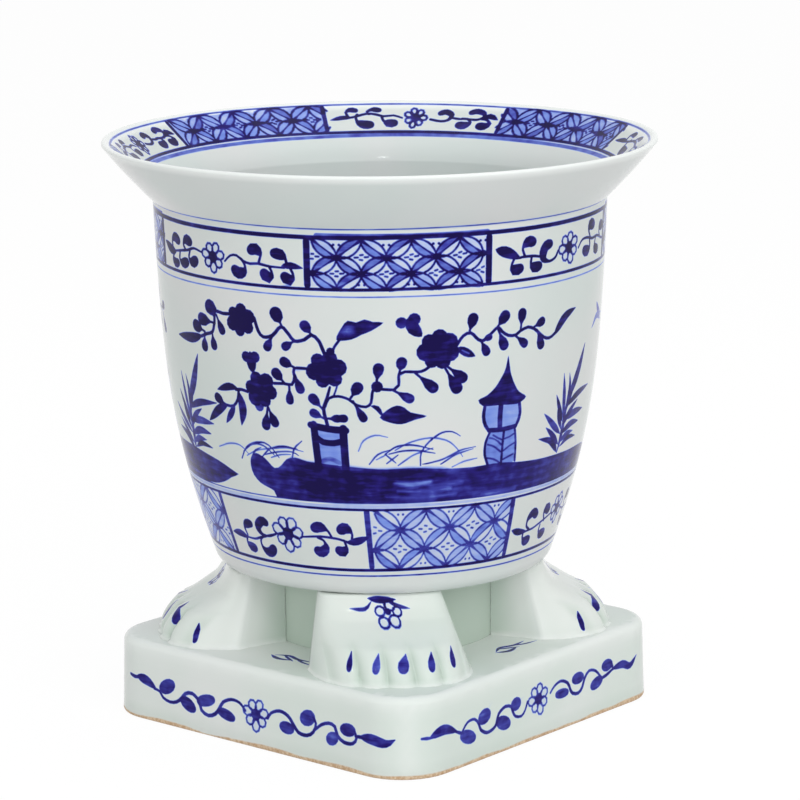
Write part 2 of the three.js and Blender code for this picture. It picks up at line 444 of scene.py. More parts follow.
@dataclass(frozen=True)
class Diaper:
    """The lattice of painted petals that fills a panel."""

    rows: tuple[float, ...]  # heights of its rows of knots
    first: float  # a knot in the lowest row stands here
    pitch: float  # from knot to knot along a row
    petal: float  # width of a petal
    pen: float = 0.85
    tone: float = 0.96  # how dark its lines are

    def marks(self, left: Border, right: Border) -> list[Mark]:
        """The lattice between two borders.

        Args:
            left: the left border's place at a height.
            right: the right border's place at a height.

        Returns:
            Its marks, clipped to whole petals between the borders.
        """
        marks: list[Mark] = []
        low, high = self.rows[0], self.rows[-1]
        start = int((left(low) - self.first) / self.pitch) - 2
        for row in range(len(self.rows)):
            y = self.rows[row]
            for k in range(start, start + 60):
                x = self.first + self.pitch * (k + (0.5 if row % 2 else 0.0))
                if x > right(y) + self.pitch:
                    break
                if left(y) - 1 < x < right(y) + 1:
                    size = 1.5 if row in (0, len(self.rows) - 1) else 2.5
                    marks.append(disc((x, y), size, self.tone, 0.85))
                if row + 1 < len(self.rows):
                    for way in (-0.5, 0.5):
                        other = (x + way * self.pitch, self.rows[row + 1])
                        marks += self._petal((x, y), other, left, right)
                if row + 2 < len(self.rows):
                    middle = self.rows[row + 1]
                    if left(middle) + 3 < x < right(middle) - 3:
                        marks += self._seeds((x, 0.5 * (y + self.rows[row + 2])))
        marks += self._edge_seeds(left, right, low, high)
        return marks

    def _seeds(self, at: Spot) -> list[Mark]:
        """The dabs in the middle of one cell."""
        x, y = at
        wide, tall = 0.1 * self.pitch, 0.16 * (self.rows[1] - self.rows[0])
        lean = 0.5 * math.sin(1.7 * x)
        ends = ((-wide - 0.9, lean, -wide + 1.0, 0.5 * lean), (wide - 0.8, -0.4 * lean, wide + 1.1, -lean),
                (-0.6, tall + lean, 0.9, tall), (-0.9, -tall, 0.6, -tall + lean))
        return [stroke([(x + a, y + b), (x + c, y + d)], 1.3, 0.94 * self.tone) for a, b, c, d in ends]

    def _edge_seeds(self, left: Border, right: Border, low: float,
                    high: float) -> list[Mark]:
        """The dabs in the half cells along the top and the foot.

        Args:
            left: the left border's place at a height.
            right: the right border's place at a height.
            low: height of the lowest row.
            high: height of the highest row.

        Returns:
            The dabs.
        """
        marks = []
        for row, y in ((0, low + 3.0), (len(self.rows) - 1, high - 3.0)):
            shift = 0.0 if row % 2 else 0.5
            for k in range(-40, 60):
                x = self.first + self.pitch * (k + shift)
                if left(y) + 4 < x < right(y) - 4:
                    marks += [disc((x + aside, y), 0.8, 0.9 * self.tone) for aside in (-1.7, 1.7)]
        return marks

    def _petal(self, a: Spot, b: Spot, left: Border,
               right: Border) -> list[Mark]:
        """One petal between two knots, cut off at the borders.

        Args:
            a: the knot that it starts from.
            b: the knot that it runs to.
            left: the left border's place at a height.
            right: the right border's place at a height.

        Returns:
            Its marks, none where too little of it is left.
        """
        p, q = np.array(a, float), np.array(b, float)
        cut = []
        for border, sign in ((left, 1.0), (right, -1.0)):
            gp, gq = sign * (p[0] - border(p[1])), sign * (q[0] - border(q[1]))
            if gp < 0 and gq < 0:
                return []
            if gp < 0 or gq < 0:
                cut.append((gp / (gp - gq), gp < 0))
        start, end = 0.06, 0.94
        for share, head in cut:
            start, end = (max(start, share), end) if head else (start, min(end, share))
        if end - start < 0.25:
            return []
        t = np.linspace(start, end, 7)
        way = (q - p) / np.linalg.norm(q - p)
        side = np.array([-way[1], way[0]])
        bulge = 0.5 * self.petal * np.sin(math.pi * np.clip(t, 0, 1)) ** 0.62
        line = p + t[:, None] * (q - p)
        up, down = line + side * bulge[:, None], line - side * bulge[:, None]
        tint = 0.5 + 0.5 * math.sin(0.7 * p[0] + 1.9 * p[1] + 2.3 * q[0])
        wash = Mark(np.vstack([up, line[::-1]]), self.tone * (0.3 + 0.24 * tint), cut=False)
        pale = Mark(np.vstack([line, down[::-1]]), self.tone * (0.34 - 0.26 * tint), cut=False)
        pens = [Mark(edge, self.tone, np.full(7, 0.5 * self.pen)) for edge in (up, down)]
        vein = 0.5 * np.array([2.4, 1.5, 0.9, 0.8, 0.9, 1.5, 2.4]) * self.petal / 9
        heart = Mark(line, 0.9 * self.tone, vein)
        return [wash, pale, heart, *pens]


# ---- the bowl's painting --------------------------------------------------------------


@dataclass(frozen=True)
class Band:
    """A painted band round the bowl, of lattice and scroll panels by turns."""

    low: float
    high: float
    borders: tuple[float, ...]  # where each panel ends, starting with the visible left scroll's start
    diaper: Diaper
    lean: float = 0.0  # how far a border leans over the height

    def marks(self, scroll: Callable[[], list[Mark]], other: Callable[[], list[Mark]]) -> list[Mark]:
        """Every panel of the band.

        Args:
            scroll: makes the visible left scroll, from its left border.
            other: makes the visible right scroll, from its left border.

        Returns:
            The band's marks, panel by panel round the bowl.
        """
        marks: list[Mark] = []
        for k, (start, end) in enumerate(zip(self.borders[:-1], self.borders[1:])):
            if Panel(k % 2) is Panel.SCROLL:
                source = other() if k == 2 else scroll()
                span = self.borders[3] - self.borders[2] if k == 2 else self.borders[1] - self.borders[0]
                marks += [fitted(m, start, (end - start) / span) for m in source]
            else:
                left = lambda y, s=start: s + self.lean * (y - self.low)
                right = lambda y, e=end: e + self.lean * (y - self.low)
                lattice = replace(self.diaper, first=self.diaper.first + start - self.borders[1])
                marks += lattice.marks(left, right)
                marks.append(panel_wash(start, end, self.low, self.high, 0.12))
                for x in (start, end):
                    line = [(x, self.low + 1.2), (x + self.lean * (self.high - self.low), self.high - 1.2)]
                    marks.append(stroke(line, 4.0, self.diaper.tone))
        return marks


def panel_wash(start: float, end: float, low: float, high: float, load: float) -> Mark:
    """The thin wash behind a lattice panel."""
    return Mark(np.array([(start, low), (end, low), (end, high), (start, high)]), load, cut=False)


def fitted(mark: Mark, start: float, stretch: float) -> Mark:
    """A mark given from a panel's left border, put into a panel that is a little wider or narrower."""
    return replace(mark, path=mark.path * np.array([stretch, 1.0]) + np.array([start, 0.0]))


def circle_line(height: float, width: float, load: float) -> Mark:
    """A line all round a sheet, running past both ends of it."""
    x = np.linspace(-0.5 * SHEET_TURN - 12, 0.5 * SHEET_TURN + 12, 96)
    wave = 0.22 * np.sin(x / SHEET_RADIUS * 3 + height) + 0.12 * np.sin(x / SHEET_RADIUS * 7)
    return Mark(np.stack([x, height + wave], 1), load, np.full(len(x), 0.5 * width))


@dataclass(frozen=True)
class Scroll:
    """A flowering scroll that fills a panel, as its places on the sheet."""

    border: float  # where the panel starts
    flower: Place  # middle and radius
    curls: tuple[tuple[float, Points], ...]  # radius of the head, then its way from head to stem
    stems: tuple[Points, ...]
    leaves: tuple[tuple[float, Points], ...]
    heads: tuple[tuple[float, tuple[float, float, float, float]], ...] = ()  # width and ends of a long dab
    pen: float = 1.7
    tone: float = 0.96
    turn: float = 0.25

    def marks(self, wide: float = 1.0) -> list[Mark]:
        """Its marks, from the panel's border, drawn out by a factor."""
        x, y, radius = self.flower
        found = open_flower((x, y), radius, 7, self.turn, 1.5, 0.3, self.tone)
        found += [curl(way, radius, self.tone, 0.5 * self.pen) for radius, way in self.curls]
        found += [stroke(way, self.pen, self.tone, (0.7, 0.7)) for way in self.stems]
        found += [leaf(way, width, self.tone, 0.42) for width, way in self.leaves]
        for width, ends in self.heads:
            found.append(oval(ends, 1.1 * width, self.tone - 0.05 + 0.04 * math.sin(ends[0])))
        return [replace(mark, path=(mark.path - (self.border, 0)) * (wide, 1)) for mark in found]


NECK_LEFT = Scroll(-171.0, (-111, 316, 10.6), ((3.4, [(-147.5, 321.5), (-151.5, 323), (-155.6, 320.4),
    (-155, 315.4)]), (3.5, [(-133.5, 322.6), (-137.5, 323.4), (-140.8, 320), (-138, 316.4)]), (3.1,
    [(-149.5, 307), (-152.5, 306.6), (-155.4, 309.6), (-152.6, 314)]), (3.4, [(-138, 309), (-142.4, 307.8),
    (-146.4, 309.8), (-145.6, 314.6)]), (3.6, [(-128, 311.4), (-131.4, 309.8), (-135, 312.4),
    (-133.6, 316.8)]), (3.8, [(-93, 309.8), (-90.4, 308.2), (-86.6, 309.4), (-85.4, 313), (-88, 317.4)]),
    (3.7, [(-80.4, 323.4), (-77.6, 324.4), (-74.2, 321), (-75.4, 316)]), (3.8, [(-71.8, 309.4),
    (-69.4, 307.2), (-66.6, 310), (-68.6, 314.4)]), (3.6, [(-64.4, 322.6), (-61, 322.2), (-57.4, 319.4),
    (-56.8, 315)]), (3.7, [(-58, 308.4), (-55.6, 306.6), (-52.8, 309.6), (-54.4, 313.8)])), ([(-154, 314),
    (-145, 315.4), (-136, 317), (-129, 319), (-121, 317.4)], [(-101, 314.4), (-96.4, 318.4), (-91.4, 319),
    (-86.6, 316), (-81.6, 314.8), (-76, 315.4), (-68, 314.2), (-58, 314)]), ((6.4, [(-151, 313.6),
    (-158, 314.6), (-167, 318.6)]), (4.4, [(-60, 315), (-54, 315.6), (-46.6, 314.4)])))

NECK_RIGHT = Scroll(66.0, (131, 317, 11), ((3.5, [(97.6, 325), (94, 325.4), (90, 321.8), (91.6, 316.8)]),
    (3.6, [(88, 309.4), (84.6, 308.8), (82, 312), (83.8, 316)]), (3.5, [(103, 309.2), (99.6, 308.8),
    (96.6, 311.6), (97, 315.4)]), (3.4, [(112, 321.8), (109, 321), (106.6, 317.4), (107, 313), (112, 311),
    (117.4, 312.6), (120, 316.4)]), (3.7, [(162.6, 326.8), (158.4, 327.4), (156, 323.8), (158.6, 319.4)]),
    (3.7, [(150.6, 312), (154, 311.2), (158.2, 313.4), (157.6, 318)]), (3.4, [(171.6, 309.8), (168.2, 310.4),
    (166.8, 314), (168.4, 318)]), (3.5, [(181.4, 323.4), (177.4, 323.8), (175, 320.4), (177.6, 316.4)])),
    ([(85, 316), (92, 316.4), (100, 315.8), (108, 314)], [(142, 315), (147, 319.4), (155, 319.6), (162, 318),
    (171, 318.4), (181, 315.4), (190, 314.6)]), ((7.0, [(70.6, 323), (79, 320.2), (88.6, 315.4)]), (4.8,
    [(188, 314.4), (196, 315), (204, 317)])), turn=0.5)

FOOT_LEFT = Scroll(-132.0, (-72, 140.6, 13.4), ((3.1, [(-106.4, 143), (-109.6, 142.6), (-113.4, 139.4),
    (-112.2, 134.4)]), (3.2, [(-90.6, 146), (-94, 146.6), (-98.8, 142.4), (-97, 137.8), (-90.4, 136.6),
    (-83, 139)]), (3.6, [(-108, 126.2), (-111.2, 126.2), (-114.6, 129.4), (-112.8, 133.4)]), (3.5,
    [(-88, 128.2), (-91, 125.6), (-95.4, 125.2), (-99, 128.8), (-98.6, 133.4), (-93.6, 137)]), (3.7,
    [(-50, 146.4), (-45.6, 147.4), (-40.4, 145.2), (-37.6, 140.8)]), (3.9, [(-30.4, 146.2), (-27, 147.4),
    (-22.6, 144), (-23, 139)]), (3.7, [(-49.6, 130.6), (-46.4, 130), (-42.8, 133), (-44, 138),
    (-48.6, 140)]), (3.6, [(-33, 131.8), (-30, 131), (-27.4, 134.2), (-28.6, 139)])), ([(-114, 133),
    (-105, 132.8), (-98.6, 134.6), (-91, 136.8), (-83, 139)], [(-61, 139.4), (-54, 140.2), (-46, 140.8),
    (-38, 140.4), (-32, 139.6), (-26, 138), (-19, 138)]), ((5.2, [(-112, 132.6), (-120, 134.4),
    (-129.4, 134)]), (5.4, [(-27, 137.4), (-19, 138.6), (-10.4, 141.8)])), tone=0.88, turn=0.15)

FOOT_RIGHT = Scroll(101.0, (162, 142, 11.4), ((3.2, [(128.6, 143.4), (124.4, 145.6), (119.8, 142.4),
    (119.4, 137.4), (124, 134)]), (3.6, [(125.6, 126.6), (121.8, 126.8), (118, 129.4), (117.4, 133.4)]),
    (3.6, [(145.4, 143.6), (142, 145.6), (139.8, 142), (142.6, 136.8)]), (3.6, [(147, 127.6), (142.8, 127.8),
    (138.6, 130.4), (138.4, 134.8)]), (3.5, [(185.4, 147), (181.4, 147.4), (178.4, 143.4), (181, 139)]),
    (3.6, [(187, 128.6), (183, 128.8), (179.6, 132), (181, 137)]), (3.5, [(203, 146.6), (199.4, 147),
    (196.6, 143), (199, 139)]), (3.5, [(205, 129), (201, 129.2), (197.6, 132), (199, 137)])), ([(118, 133.4),
    (128, 134), (136, 136), (144, 138), (152, 140)], [(172, 140), (180, 138), (190, 138.4), (200, 138),
    (208, 137)]), ((4.8, [(103.6, 136.8), (112, 134.4), (121.4, 133.2)]), (4.6, [(205, 137), (213, 138.4),
    (221, 141)])), tone=0.88, turn=0.4)

# the scroll on the rim: x from its flower, y the radius
RIM_SCROLL = Scroll(0.0, (0, 162.6, 7.8), ((1.9, [(-33.5, 167.2), (-37, 168.2), (-41.6, 167), (-42.4, 164.4),
    (-38.6, 162.4), (-33, 162.4)]), (2.7, [(-41.4, 158.2), (-45, 158), (-47.8, 160), (-45, 162.6),
    (-41.6, 163)]), (2.7, [(-28, 158.2), (-31.6, 158), (-34.8, 160), (-33, 162.4), (-28.6, 162.6)]), (1.9,
    [(-14.8, 166), (-18.2, 167), (-21.9, 165), (-20.6, 161.6), (-16, 160.4), (-9.4, 161.6)]), (2.9,
    [(12.8, 158.8), (16, 158.6), (19.4, 160.6), (20.4, 163.8)]), (1.8, [(22, 168), (25.9, 168.4), (29, 167),
    (28, 165)]), (3.0, [(27.6, 157.8), (31, 157.8), (34.9, 159.6), (36, 163), (35, 165)]), (1.8,
    [(35.8, 168), (39, 168.4), (41.6, 166.6), (40.4, 163.4)])), ([(-29, 162.2), (-25, 162.6), (-22, 163)],
    [(8, 162.4), (13.3, 164.2), (19.3, 163.6), (24, 165), (29, 165.6), (35, 164), (41, 162.6), (48, 162)]),
    ((3.8, [(-41, 163.4), (-46, 165.2), (-52, 163)]), (3.2, [(38, 163.2), (45, 162.8), (51.6, 161.6)])),
    (), 1.6, 0.97, 0.45)

# the scrolls on the plinth: x from the middle of the side, y above the floor
SIDE_FIRST = Scroll(0.0, (5, 22, 11.6), (), ([(-107, 28.2), (-102, 27.4), (-97, 28)], [(-84, 22.6),
    (-79, 21.6), (-76, 18), (-70, 16.2), (-64, 17.4), (-59.6, 20.6), (-56, 24.4), (-50, 25.6), (-44, 21.6),
    (-42, 16), (-36, 13.6), (-30, 15.8), (-26.6, 19.8), (-23, 25), (-16, 28), (-9, 27.2), (-4, 23)],
    [(15, 21.4), (18, 25.6), (25, 28.2), (32, 26.4), (37, 21.4), (41, 17.4), (48, 16.8), (53.4, 20),
    (55.4, 26), (52, 31.4)], [(54.6, 21.6), (60, 26), (66, 28.2), (71, 27), (73.4, 21.6), (79, 18.4),
    (86, 19), (89, 23), (87, 27.6)], [(88, 24), (95, 24.6)]), ((6.6, [(-99.6, 28.4), (-91, 26.8),
    (-82, 22.6)]), (7.0, [(91, 24.4), (101, 24.6), (111, 23), (117.4, 25.8)])), ((8.6,
    (-79, 22.6, -65.4, 29.6)), (8.0, (-60.4, 20.8, -47, 14.4)), (7.2, (-46, 21, -30, 25.4)), (6.6,
    (-28, 19, -12.6, 15.4)), (7.4, (25, 19, 37.6, 18)), (9.4, (42.4, 25.4, 54.6, 31)), (7.8,
    (73.6, 21.4, 64.4, 16.2)), (7.8, (75.4, 26.4, 88.4, 27.4))), 2.5, 0.77)

SIDE_SECOND = Scroll(0.0, (-4, 26, 11.2), (), ([(-116, 25.8), (-109, 25.6)], [(-88, 25), (-80, 21.6)],
    [(-82, 22.6), (-76, 28), (-69, 28.4), (-65, 24.4), (-63, 20), (-57, 16.8), (-50.4, 17.8), (-47.4, 20.4),
    (-45, 26), (-38, 29.2), (-32, 27.6), (-30.6, 24), (-28, 20.4), (-22, 19), (-18, 22), (-15.4, 27)],
    [(8.6, 27), (13, 30.4), (20, 32.2), (27, 29.2), (29.4, 24.6), (32, 21.2), (38, 20), (42.4, 23), (45, 28),
    (50, 32), (57, 30.4), (61.6, 26), (64, 24)], [(60, 23.6), (68, 24.8), (76, 27.6)], [(75.6, 27),
    (74.4, 31), (70, 33)]), ((6.8, [(-111, 25.4), (-99, 28.8), (-86, 24.6)]), (5.4, [(74, 27.4), (86, 28.2),
    (94, 25.6), (102, 31)])), ((8.2, (-83.4, 21.4, -68, 15.8)), (9.0, (-65.4, 26, -52.8, 29.6)), (8.4,
    (-47.4, 21.6, -33, 16.4)), (8.0, (-32.4, 27.4, -22, 29)), (5.8, (13.6, 24.2, 28, 23.4)), (7.2,
    (31.6, 29.8, 44.6, 30)), (7.0, (51, 20.2, 64.4, 24.2)), (7.4,
    (63.6, 31.2, 75.6, 31.4))), 2.3, 0.74, 0.45)


@dataclass(frozen=True)
class Garden:
    """The painted garden: a flowering spray out of a box, a pavilion, grass and a bank of ground."""

    def marks(self) -> list[Mark]:
        """The whole garden as it faces the camera, then the two that fill the rest of the wall."""
        turn = SHEET_TURN / 3
        front = (self.spray_left() + self.spray_middle() + self.spray_right(True) + self.box()
            + self.grass(True) + self.pavilion() + self.bamboo() + self.bank() + self.bird())
        left = (self.spray_left() + self.spray_middle() + self.spray_right(False) + self.box()
            + self.grass(True) + self.pavilion() + self.bamboo() + self.bank_left())
        back = (self.spray_middle() + self.spray_right(True) + self.box() + self.grass(False)
            + self.pavilion() + self.bank_back())
        marks = front + [m.moved(-turn) for m in left] + [m.moved(turn - 11) for m in back]
        return marks

    def spray_left(self) -> list[Mark]:
        """The spray's two left branches with their flowers."""
        marks = dark_flower((-91, 278.5), 10.5, 6, 0.4) + dark_flower((-79, 235.5), 11.5, 6, 0.9)
        marks += [stroke([(-98, 281.5), (-105, 281), (-112, 281.5), (-113, 275), (-115.5, 268), (-121, 266),
            (-127, 263.5)], 2.1), bud((-116, 283.5), (-110, 281.2), 4.4), bud((-125, 274.8),
            (-112.5, 273.8), 3.7), bud((-131.5, 269.6), (-123, 267), 3.6), leaf([(-126, 264), (-138, 261),
            (-156, 260)], 6.6, widest=0.4), bud((-124.3, 257.4), (-123.4, 266), 2.8), bud((-115, 259.3),
            (-116, 268), 2.6), bud((-106.8, 270.2), (-111, 279.5), 2.6), stroke([(-80.5, 281), (-78, 273),
            (-74.5, 269.5), (-68, 271), (-62, 277), (-57, 272.5), (-53.5, 268.6), (-47, 269.8), (-42.5, 273),
            (-38, 269.5), (-34.5, 261)], 2.2), bud((-65, 284.8), (-61.3, 277), 3.8), bud((-72, 263.6),
            (-68, 271), 2.6), bud((-59.5, 264.8), (-53.6, 268.6), 2.5), bud((-46.4, 278.5),
            (-42, 272.5), 3.0, 0.86), disc((-88.2, 255.6), 3.5), disc((-81.6, 256), 3.6), leaf([(-85, 259),
            (-84.5, 252), (-84, 246)], 7.2), stroke([(-69, 240.5), (-62, 241), (-56.5, 240.8), (-54.5, 246),
            (-54.5, 251.2), (-44, 251.5)], 1.9), bud((-66.8, 247), (-61.5, 241.2), 3.1), bud((-60.8, 254.8),
            (-54, 251.6), 2.9), bud((-51.2, 238.4), (-54.6, 248), 2.7), bud((-58.6, 230.6),
            (-58.4, 240), 2.4), stroke([(-89, 233), (-94, 233.8), (-99, 233.2)], 2.0), leaf([(-97, 233.8),
            (-104, 234.5), (-115.5, 231)], 5.0), stroke([(-96.5, 233), (-98, 227), (-102, 222.3),
            (-108, 221.8), (-113, 223.2)], 1.9), bud((-116, 225.4), (-109, 222), 2.9), leaf([(-107, 222.5),
            (-116, 218), (-128, 209)], 6.0), leaf([(-101, 222.5), (-105, 217), (-110.6, 210)], 4.6, 0.85),
            leaf([(-96.5, 232), (-94.5, 221), (-97, 210.4)], 6.4, 0.85), bud((-77.2, 212.8),
            (-75, 224), 2.9), bud((-70.6, 215.2), (-74.6, 225), 2.8), disc((-81, 224.6), 3.4, 0.7)]
        return marks

    def spray_middle(self) -> list[Mark]:
        """The stems out of the box, the middle flower and what grows beside it."""
        marks = dark_flower((-34, 251.5), 12, 6, 0.2)
        marks += [stroke([(-30.5, 261), (-28.5, 266), (-24.5, 271.5)], 1.6), area([(-27, 270.5), (-24, 278),
            (-20, 282.6), (-15, 281.6), (-10, 283.6), (-5, 282), (1, 281.5), (-6, 276.5), (-12, 274),
            (-18, 271)], 0.93), replace(disc((-19.5, 276.4), 3.2, -0.4), edge=1.8), disc((-31, 263), 2.6),
            stroke([(-34, 213.5), (-35.5, 220), (-36.6, 226), (-34.2, 233), (-32, 240.5)], 2.3,
            taper=(1, 0.6)), bud((-43, 232.6), (-37, 226), 2.9, 0.85), bud((-43, 223.3),
            (-36.2, 220), 2.6, 0.85), bud((-24, 220.6), (-34, 220.3), 2.3), bud((-28, 220.4),
            (-34.5, 220.2), 2.3), stroke([(-35.5, 228), (-33, 233.3), (-27, 234.8), (-20.5, 233),
            (-16, 229.6), (-10, 228.3), (-6.8, 231), (-6, 237), (-4.6, 241.5)], 1.7), stroke([(-30, 234.5),
            (-28.6, 238), (-27.6, 241)], 1.2), bud((-15, 240.4), (-19.6, 233.4), 3.2), bud((-11.8, 221.2),
            (-18, 232), 2.4), disc((-3, 241.2), 3.6), bud((-2, 252.6), (-3.4, 243), 3.0), leaf([(-7, 229),
            (-3, 227.5), (0.5, 222)], 3.0), stroke([(0, 239.6), (7.5, 239.2), (10.2, 242), (10.4, 249),
            (14, 250.4), (24, 250.2), (30.5, 254)], 1.8), bud((12, 256.2), (10.6, 249.5), 3.0),
            bud((16.8, 233.2), (6.5, 239), 2.7), bud((31.3, 239.6), (19.6, 250), 3.1),
            replace(disc((31.5, 239.4), 1.5, -0.3), edge=1.1), area([(-1.5, 221.4), (3, 226.2), (9, 229),
            (14, 227.4), (17.5, 224.4), (27.5, 221.6), (20, 219.4), (12, 217), (4, 218.4)], 0.96)]
        return marks

    def spray_right(self, with_tip: bool) -> list[Mark]:
        """The right flower and its long branch."""
        marks = dark_flower((34.5, 263.5), 12.5, 7, 0.6)
        marks += [disc((12, 281.2), 3.6, 0.88), disc((19.6, 283.2), 3.9, 0.88), leaf([(16.5, 284.5),
            (18, 279), (24, 272.5)], 8), bud((46.5, 238.5), (38.5, 252), 3.4), bud((50, 244.6),
            (39.5, 253), 3.1), stroke([(45, 264), (50, 271), (55, 272.4), (60, 267.8), (64, 267), (70, 272),
            (73.5, 274.2), (76.5, 271), (81, 268.2), (86.5, 267.8), (90, 270), (96, 271.6),
            (101, 270)], 2.0), bud((56.2, 281.2), (53.6, 272), 3.1), leaf([(46.5, 264), (52, 260.5),
            (58, 257.6)], 5.4), stroke([(49.5, 262), (54, 259.6)], 1.2, -0.45), bud((65.6, 259.8),
            (61.5, 267.6), 2.5), bud((67.2, 268.6), (62.5, 267), 2.0), bud((78, 280.6), (72, 273.4), 3.3),
            bud((78, 262.6), (73.4, 273), 3.0), bud((91, 280.8), (90.2, 271), 2.9), bud((93.6, 261.6),
            (86, 267.6), 2.5), bud((107.4, 273.6), (100, 270.6), 2.6), bud((107.6, 259), (103.6, 269), 2.8)]
        if with_tip:
            marks += [stroke([(101, 270), (105, 267), (110, 263.2), (115, 262), (120, 264),
                (125, 269)], 2.0), leaf([(119, 262.5), (130, 273), (142, 277)], 6.0)]
        return marks

    def box(self) -> list[Mark]:
        """The planting box that the spray grows from."""
        return [stroke([(-43.6, 216), (-43, 203), (-42.2, 189)], 4.7, 1.0), stroke([(-24.6, 214),
            (-24.4, 202), (-24, 188)], 5.0, 1.0), stroke([(-45.6, 215.6), (-35, 213.6),
            (-23, 212.8)], 4.4, 1.0), stroke([(-42, 207.4), (-38, 204.8), (-31, 204.4),
            (-26, 205.6)], 3.9, 1.0), area([(-41, 213), (-34, 213), (-27, 213), (-27, 204), (-34, 204),
            (-41, 204)], 0.3, 4), area([(-41, 204), (-34, 204), (-26.5, 204), (-26.5, 188), (-34, 188),
            (-41, 188)], 0.36, 4), stroke([(-40, 192), (-34, 194), (-28, 191.5)], 3.0, 0.5)]

    def grass(self, full: bool) -> list[Mark]:
        """Thin arcs of grass on either side of the box."""
        left = [[(-122, 192.6), (-111, 196.4), (-101, 196.6), (-94, 191.5)], [(-101, 188), (-96, 195.5),
            (-88, 200), (-80, 200.8), (-74.5, 197.6), (-70, 192)], [(-98.5, 193), (-90, 198.8), (-81, 198.8),
            (-73.5, 193.5)], [(-96, 190.5), (-88, 194.6), (-80, 196.8), (-64, 199.2), (-52, 197.6)],
            [(-83, 191.5), (-76, 197.4), (-66, 200), (-56, 199)], [(-81, 193), (-70, 196), (-60, 196.8),
            (-55.5, 194.6)], [(-76, 191.6), (-68, 194.4), (-61, 195)], [(-60.6, 192), (-58, 199.4),
            (-52.4, 204.6)], [(-93, 188.5), (-88, 195), (-83, 197.5)]]
        right = [[(-15.4, 199.6), (-12, 206.4), (-4.5, 210), (3.4, 208.6)], [(-8.6, 191), (-3, 197.4),
            (5, 200.4)], [(1.5, 197.6), (9.5, 202.6), (20, 203), (32.6, 199.6)], [(8, 200), (17, 204.8),
            (29.5, 207.2), (41, 205), (48, 199.6), (53, 193.2)], [(24.6, 189.5), (24.8, 197.6), (30, 205),
            (38, 210.2), (45, 210.2), (50.4, 207)], [(4, 197.6), (12.5, 199.4), (22, 199.4), (34, 197)],
            [(10, 190), (20, 196.6), (32.5, 200.6)], [(26, 190), (39, 192.6), (51, 197.6), (61.6, 199)],
            [(38, 189.4), (48, 195), (60, 197.8)], [(46, 187), (54, 190), (63.4, 191.2)], [(1.6, 197.6),
            (8.6, 191.6)], [(2.6, 191.4), (10, 197)], [(-4, 194), (3, 197.6)]]
        arcs = (left if full else []) + right
        return [stroke(arc, 1.35, 0.56 + 0.22 * (k % 3 != 0), (0.6, 0.3)) for k, arc in enumerate(arcs)]

    def pavilion(self) -> list[Mark]:
        """The little pavilion with its pointed roof."""
        body = [area([(66, 224), (79, 223.6), (93, 223.6), (93, 217), (90.5, 209.5), (80, 209), (70, 209.5),
            (66.5, 216)], 0.3, 4), area([(71, 208), (81, 207.4), (91, 208), (92.6, 198), (93.6, 186),
            (82, 184), (71.6, 185.5), (68.6, 196)], 0.38, 4)]
        posts = [stroke([(66.4, 225), (65.8, 218), (67.6, 212), (71, 208)], 2.3, 0.86),
            stroke([(92.4, 224.6), (93.8, 217), (92.6, 211.6), (90.4, 208)], 2.4, 0.86), stroke([(78.2, 225),
            (78, 217), (78.6, 209)], 3.6, 0.88), stroke([(70.4, 208.6), (80, 208), (91, 208.8)], 3.0, 0.9),
            stroke([(71.4, 207.6), (68.8, 201), (68.8, 193), (72.4, 184.6)], 1.8, 0.86),
            stroke([(90.6, 207.6), (92.6, 198), (93.8, 185.6)], 1.7, 0.82), stroke([(82, 207), (82, 196),
            (82.4, 184.6)], 1.8, 0.88)]
        bones = [[(70, 199.4), (75, 197.6), (82, 192.6)], [(70.2, 190.6), (76, 189), (82, 185.6)],
            [(74, 205), (78, 202.6), (82, 201)], [(82, 201.4), (87, 202.4), (91.4, 204.4)], [(82, 193),
            (87, 196), (92.4, 198)], [(82, 187.4), (87, 189), (92, 190.6)], [(71, 203.6), (76, 202),
            (82, 197)]]
        roof = area([(81.6, 255), (80.2, 248), (77.6, 242.4), (73, 236), (67.6, 231.6), (61.6, 229),
            (65, 225), (72, 224.4), (80, 224), (88, 223.4), (92.4, 223.6), (97.6, 227), (91.6, 231),
            (87.6, 236.4), (84.6, 242.6), (83, 248.6)], 0.9, 2.4)
        return body + posts + [stroke(b, 1.3, 0.8) for b in bones] + [roof]

    def bamboo(self) -> list[Mark]:
        """The tuft of long leaves on the bank."""
        leaves = [([(138, 183), (140, 197), (141, 210), (144.5, 220)], 3.2), ([(142, 217), (152, 233),
            (160, 251)], 5.4), ([(140.6, 213), (156, 219), (175, 221.6)], 4.0), ([(140, 205), (154, 207),
            (169, 207)], 4.4), ([(139, 195.6), (151, 200), (164, 199.6)], 4.2), ([(140, 187), (150, 191),
            (163, 190)], 3.0), ([(139, 205), (136.6, 222), (134, 236)], 3.2), ([(141, 212), (143, 225),
            (141, 235)], 2.8), ([(138.4, 204), (133, 213), (127.6, 223)], 3.2), ([(137.6, 196), (127, 204),
            (116.6, 212.6)], 3.8), ([(137.4, 189), (128, 197), (120, 203)], 3.4), ([(137, 184), (127, 193),
            (114, 196.4)], 3.6), ([(138, 183), (131, 192), (124, 199)], 2.6)]
        more = [([(139, 200), (147, 209), (157, 215)], 3.6), ([(138, 199), (133, 209), (131, 219)], 3.4),
            ([(139, 190), (147, 194), (157, 194.4)], 3.4), ([(139, 207), (146, 223), (152, 238)], 4.0)]
        return [leaf(path, 1.22 * width, 0.72 + 0.08 * (k % 3), 0.4) for k, (path,
            width) in enumerate(leaves + more)]

